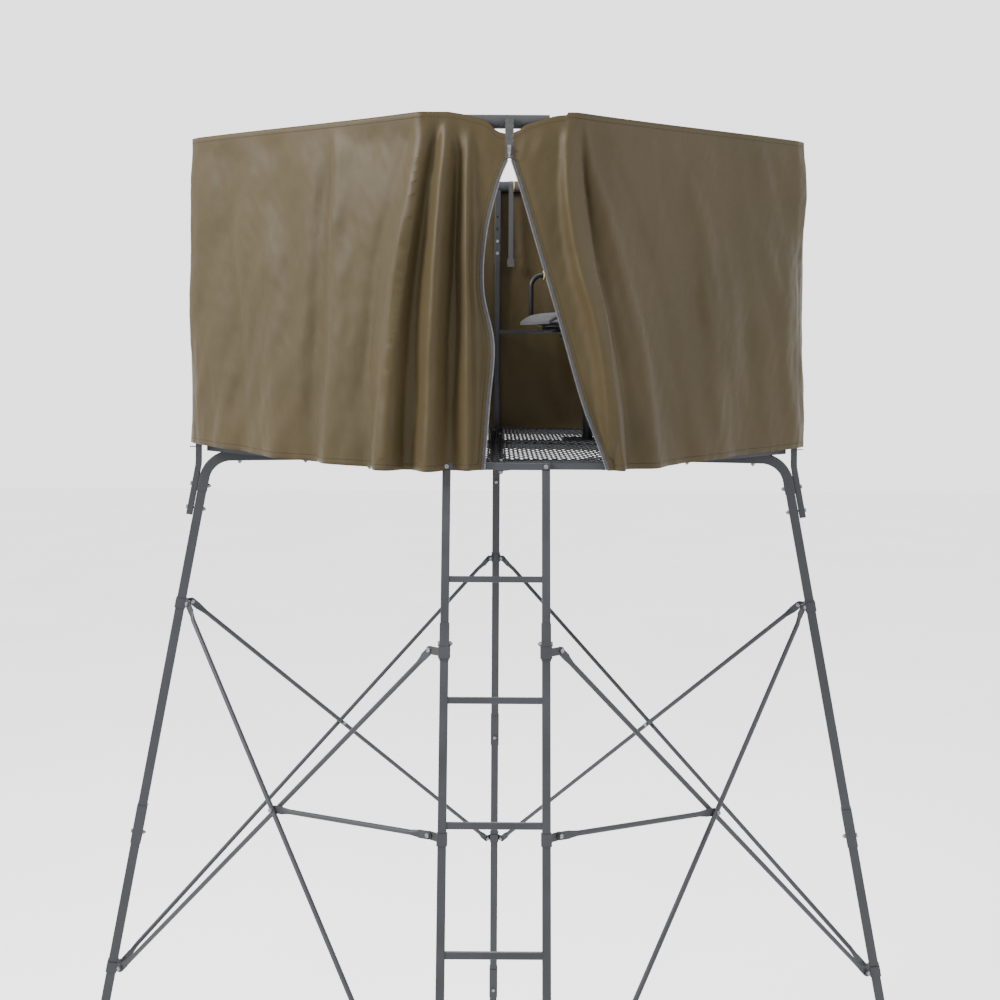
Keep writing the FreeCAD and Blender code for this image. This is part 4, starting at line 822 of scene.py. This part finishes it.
class STAND_OT_cushions(bpy.types.Operator):
    """Pad the seats and backs"""
    bl_idname = "stand.cushions"
    bl_label = "Seat cushions and backs"

    def execute(self, context):
        crown = context.scene.stand_seat.crown
        cloth = sling_cloth("sling_fabric", (0.022, 0.024, 0.028))
        for label in ("left", "right"):
            body = "seat_" + label
            place = seat_place(label)
            cushion = soft_block(0.388, 0.362, 0.022, crown, 0.015, roll=0.020)
            cushion.data.transform(place @ Matrix.Translation((0, -0.039, 0.4615)))
            settle(cushion, body + "_pad", body, "seat_fabric", cloth)
            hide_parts(body + "_cushion")
            back = soft_block(0.418, 0.228, 0.012, crown * 0.5, 0.02, cuts=22)
            tilt = math.atan2(0.36, 0.02)
            back.data.transform(place @ Matrix.Translation((0, 0.1900, 0.672))
                                @ Matrix.Rotation(tilt, 4, "X"))
            settle(back, body + "_back_pad", body, "seat_fabric", cloth)
            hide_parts(body + "_backrest")
        return {"FINISHED"}


class STAND_OT_arm_wraps(bpy.types.Operator):
    """Put rings of piping round the arm rests near their ends"""
    bl_idname = "stand.arm_wraps"
    bl_label = "Arm wraps"

    def execute(self, context):
        piping = webbing("wrap_piping", tuple(context.scene.stand_seat.piping), 400.0)
        for label in ("left", "right"):
            place = seat_place(label)
            rings = []
            for side in (-1, 1):
                for y in (-0.116, -0.092, 0.132):
                    deselect()
                    bpy.ops.mesh.primitive_torus_add(
                        major_radius=0.0155, minor_radius=0.0016, major_segments=32, minor_segments=8,
                        location=(side * 0.205, y, 0.632), rotation=(math.pi / 2, 0, 0))
                    ring = context.object
                    bpy.ops.object.transform_apply(location=True, rotation=True, scale=True)
                    bpy.ops.object.shade_smooth()
                    rings.append(ring)
            deselect()
            for ring in rings:
                ring.select_set(True)
            context.view_layer.objects.active = rings[0]
            bpy.ops.object.join()
            joined = context.object
            joined.data.transform(place)
            settle(joined, "arm_piping_" + label, "seat_" + label, "seat_fabric", piping)
        return {"FINISHED"}


class STAND_OT_gussets(bpy.types.Operator):
    """Make the gusset under each seat"""
    bl_idname = "stand.gussets"
    bl_label = "Seat gussets"

    def execute(self, context):
        paint = powder_coat("gusset_coat", tinted(context.scene.stand_finish.paint, 0.6))
        for label in ("left", "right"):
            for side, word in ((-1, "a"), (1, "b")):
                deselect()
                bpy.ops.mesh.primitive_cube_add(size=1.0, location=(0, 0, 0))
                piece = context.object
                for vertex in piece.data.vertices:
                    x, y, z = vertex.co
                    reach = 0.105 if z > 0 else 0.030
                    vertex.co = (side * 0.052 + x * 0.004, y * 2 * reach, 0.3965 + (z - 0.5) * 0.050)
                modify(piece, "BEVEL", width=0.0012, segments=2, limit_method="ANGLE")
                piece.data.transform(seat_place(label))
                smooth_by_angle(piece)
                settle(piece, "gusset_%s_%s" % (label, word), "seat_" + label, "seat_paint", paint)
        return {"FINISHED"}


BAND_X = 0.092                # middle of the webbing band on the rear rail
SLEEVE_HALF = 0.01308         # half of a post sleeve's width


# ---- trim ----------------------------------------------------------------------------------------------
def band(name, centre, radius, width, thickness, material, body, slot):
    """A short tube of webbing round a rail that runs along X."""
    deselect()
    bpy.ops.mesh.primitive_cylinder_add(vertices=48, radius=radius, depth=width, end_fill_type="NOTHING",
                                        location=centre, rotation=(0, math.pi / 2, 0))
    piece = bpy.context.object
    modify(piece, "SOLIDIFY", thickness=thickness, offset=1.0)
    modify(piece, "BEVEL", width=0.0004, segments=2, limit_method="ANGLE")
    smooth_by_angle(piece)
    return settle(piece, name, body, slot, material)


class STAND_OT_rail_trim(bpy.types.Operator):
    """Wrap the rear rail in webbing with bright piping"""
    bl_idname = "stand.rail_trim"
    bl_label = "Rail trim"

    def execute(self, context):
        black = webbing("rail_webbing", (0.012, 0.012, 0.014))
        bright = webbing("rail_piping", tuple(context.scene.stand_seat.piping), 400.0)
        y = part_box("post_sleeves")[1].y - SLEEVE_HALF
        z = RAIL_Z
        band("rail_band", (BAND_X, y, z), 0.0217, 0.045, 0.0016, black, "shooting_rail", "webbing_black")
        for step, word in ((-0.0225, "a"), (0.0225, "b")):
            band("rail_piping_" + word, (BAND_X + step, y, z), 0.0219, 0.003, 0.0028, bright,
                 "shooting_rail", "webbing_black")
        return {"FINISHED"}


# ---- finishes of the CAD pieces ----------------------------------------------------------------------------
class STAND_OT_finishes(bpy.types.Operator):
    """Paint the frame, foam, rubber, bolts and webbing"""
    bl_idname = "stand.finishes"
    bl_label = "Finishes"

    def execute(self, context):
        colours = context.scene.stand_finish
        paint = tuple(colours.paint)
        made = {
            "frame_paint": powder_coat("frame_coat", paint),
            "brace_paint": powder_coat("brace_coat", tinted(paint, 1.05), 0.5),
            "mesh_paint": powder_coat("deck_coat", tinted(paint, 0.95), 0.5),
            "seat_paint": powder_coat("seat_coat", tinted(paint, 0.55)),
            "bolt_zinc": zinc("bolt_finish"),
            "rubber_black": rubber("foot_rubber"),
            "foam_charcoal": foam("rail_foam_skin", tuple(colours.foam)),
            "seat_fabric": sling_cloth("sling_under", (0.022, 0.024, 0.028)),
            "cover_fabric": webbing("cover_binding", (0.10, 0.085, 0.05)),
            "zip_tape": webbing("zip_tape_finish", (0.010, 0.010, 0.011), 500.0),
            "zip_metal": zinc("zip_finish"),
            "webbing_black": webbing("strap_webbing", (0.012, 0.012, 0.014)),
        }
        slots = {s["node"]: s["material_slot"] for s in frame["record"]["subparts"]}
        for node, slot in slots.items():
            piece = bpy.data.objects[node] if node in bpy.data.objects else frame["nodes"][node]
            piece.data.materials.clear()
            piece.data.materials.append(made[slot])
        return {"FINISHED"}


CAMERA_DISTANCE = 3.846       # in front of the deck's front edge


# ---- stage -----------------------------------------------------------------------------------------------
class STAND_OT_stage(bpy.types.Operator):
    """Set up the floor, lights and camera"""
    bl_idname = "stand.stage"
    bl_label = "Stage"

    def execute(self, context):
        deselect()
        bpy.ops.mesh.primitive_plane_add(size=60.0, location=(0, 0, 0))
        floor = context.object
        floor.name = "floor"
        surface = Finish("floor_paint")
        tone = surface.ramp(surface.noise(0.6, 2.0), [(0.3, (0.92, 0.92, 0.92)), (0.7, (0.95, 0.95, 0.95))])
        floor.data.materials.append(surface.connect(Base_Color=tone, Roughness=0.9))
        world = bpy.data.worlds.new("studio")
        context.scene.world = world
        world.use_nodes = True
        world.node_tree.nodes["Background"].inputs[0].default_value = (1.0, 1.0, 1.0, 1)
        world.node_tree.nodes["Background"].inputs[1].default_value = 2.4
        aim = Vector((0, FRONT_Y, DECK_TOP))
        for name, place, size, power in (("key", (-5.5, -3.2, 7.6), 1.8, 1500.0),
                                         ("fill", (5.5, -4.0, 5.5), 3.0, 260.0),
                                         ("rim", (1.0, 6.0, 8.5), 4.0, 260.0)):
            deselect()
            bpy.ops.object.light_add(type="AREA", location=place)
            lamp = context.object
            lamp.name = name
            lamp.data.size = size
            lamp.data.energy = power
            lamp.rotation_euler = (aim - lamp.location).to_track_quat("-Z", "Y").to_euler()
        camera = bpy.data.objects.new("camera", bpy.data.cameras.new("camera"))
        context.collection.objects.link(camera)
        camera.data.sensor_width = 36.0
        camera.data.lens = 45.0
        camera.data.shift_x = 0.003
        camera.data.shift_y = -0.155
        camera.data.clip_end = 200.0
        height = context.scene.stand_finish.camera_height
        camera.location = (0, FRONT_Y - CAMERA_DISTANCE, DECK_TOP + height)
        camera.rotation_euler = (math.radians(90), math.radians(-0.33), 0)
        context.scene.camera = camera
        return {"FINISHED"}


class STAND_PT_panel(bpy.types.Panel):
    """Sizes and makers of the stand"""
    bl_idname = "STAND_PT_panel"
    bl_label = "Tripod hunting stand"
    bl_space_type = "VIEW_3D"
    bl_region_type = "UI"
    bl_category = "Stand"

    def draw(self, context):
        for group in ("stand_skirt", "stand_deck", "stand_seat", "stand_finish"):
            values = getattr(context.scene, group)
            box = self.layout.box()
            for name in values.__annotations__:
                box.prop(values, name)
        for operator in OPERATORS:
            self.layout.operator(operator.bl_idname)


GROUPS = {"stand_skirt": StandSkirt, "stand_deck": StandDeck, "stand_seat": StandSeat,
          "stand_finish": StandFinish}
OPERATORS = (STAND_OT_stage, STAND_OT_finishes, STAND_OT_deck_mesh, STAND_OT_skirt, STAND_OT_door_tape,
             STAND_OT_cushions, STAND_OT_arm_wraps, STAND_OT_gussets, STAND_OT_rail_trim)


def register():
    for cls in (*GROUPS.values(), *OPERATORS, STAND_PT_panel):
        bpy.utils.register_class(cls)
    for name, group in GROUPS.items():
        setattr(bpy.types.Scene, name, bpy.props.PointerProperty(type=group))


def unregister():
    for name in GROUPS:
        delattr(bpy.types.Scene, name)
    for cls in reversed((*GROUPS.values(), *OPERATORS, STAND_PT_panel)):
        bpy.utils.unregister_class(cls)


def main():
    register()
    for operator in OPERATORS:
        group, name = operator.bl_idname.split(".")
        getattr(getattr(bpy.ops, group), name)()
    deselect()


if __name__ == "__main__":
    main()
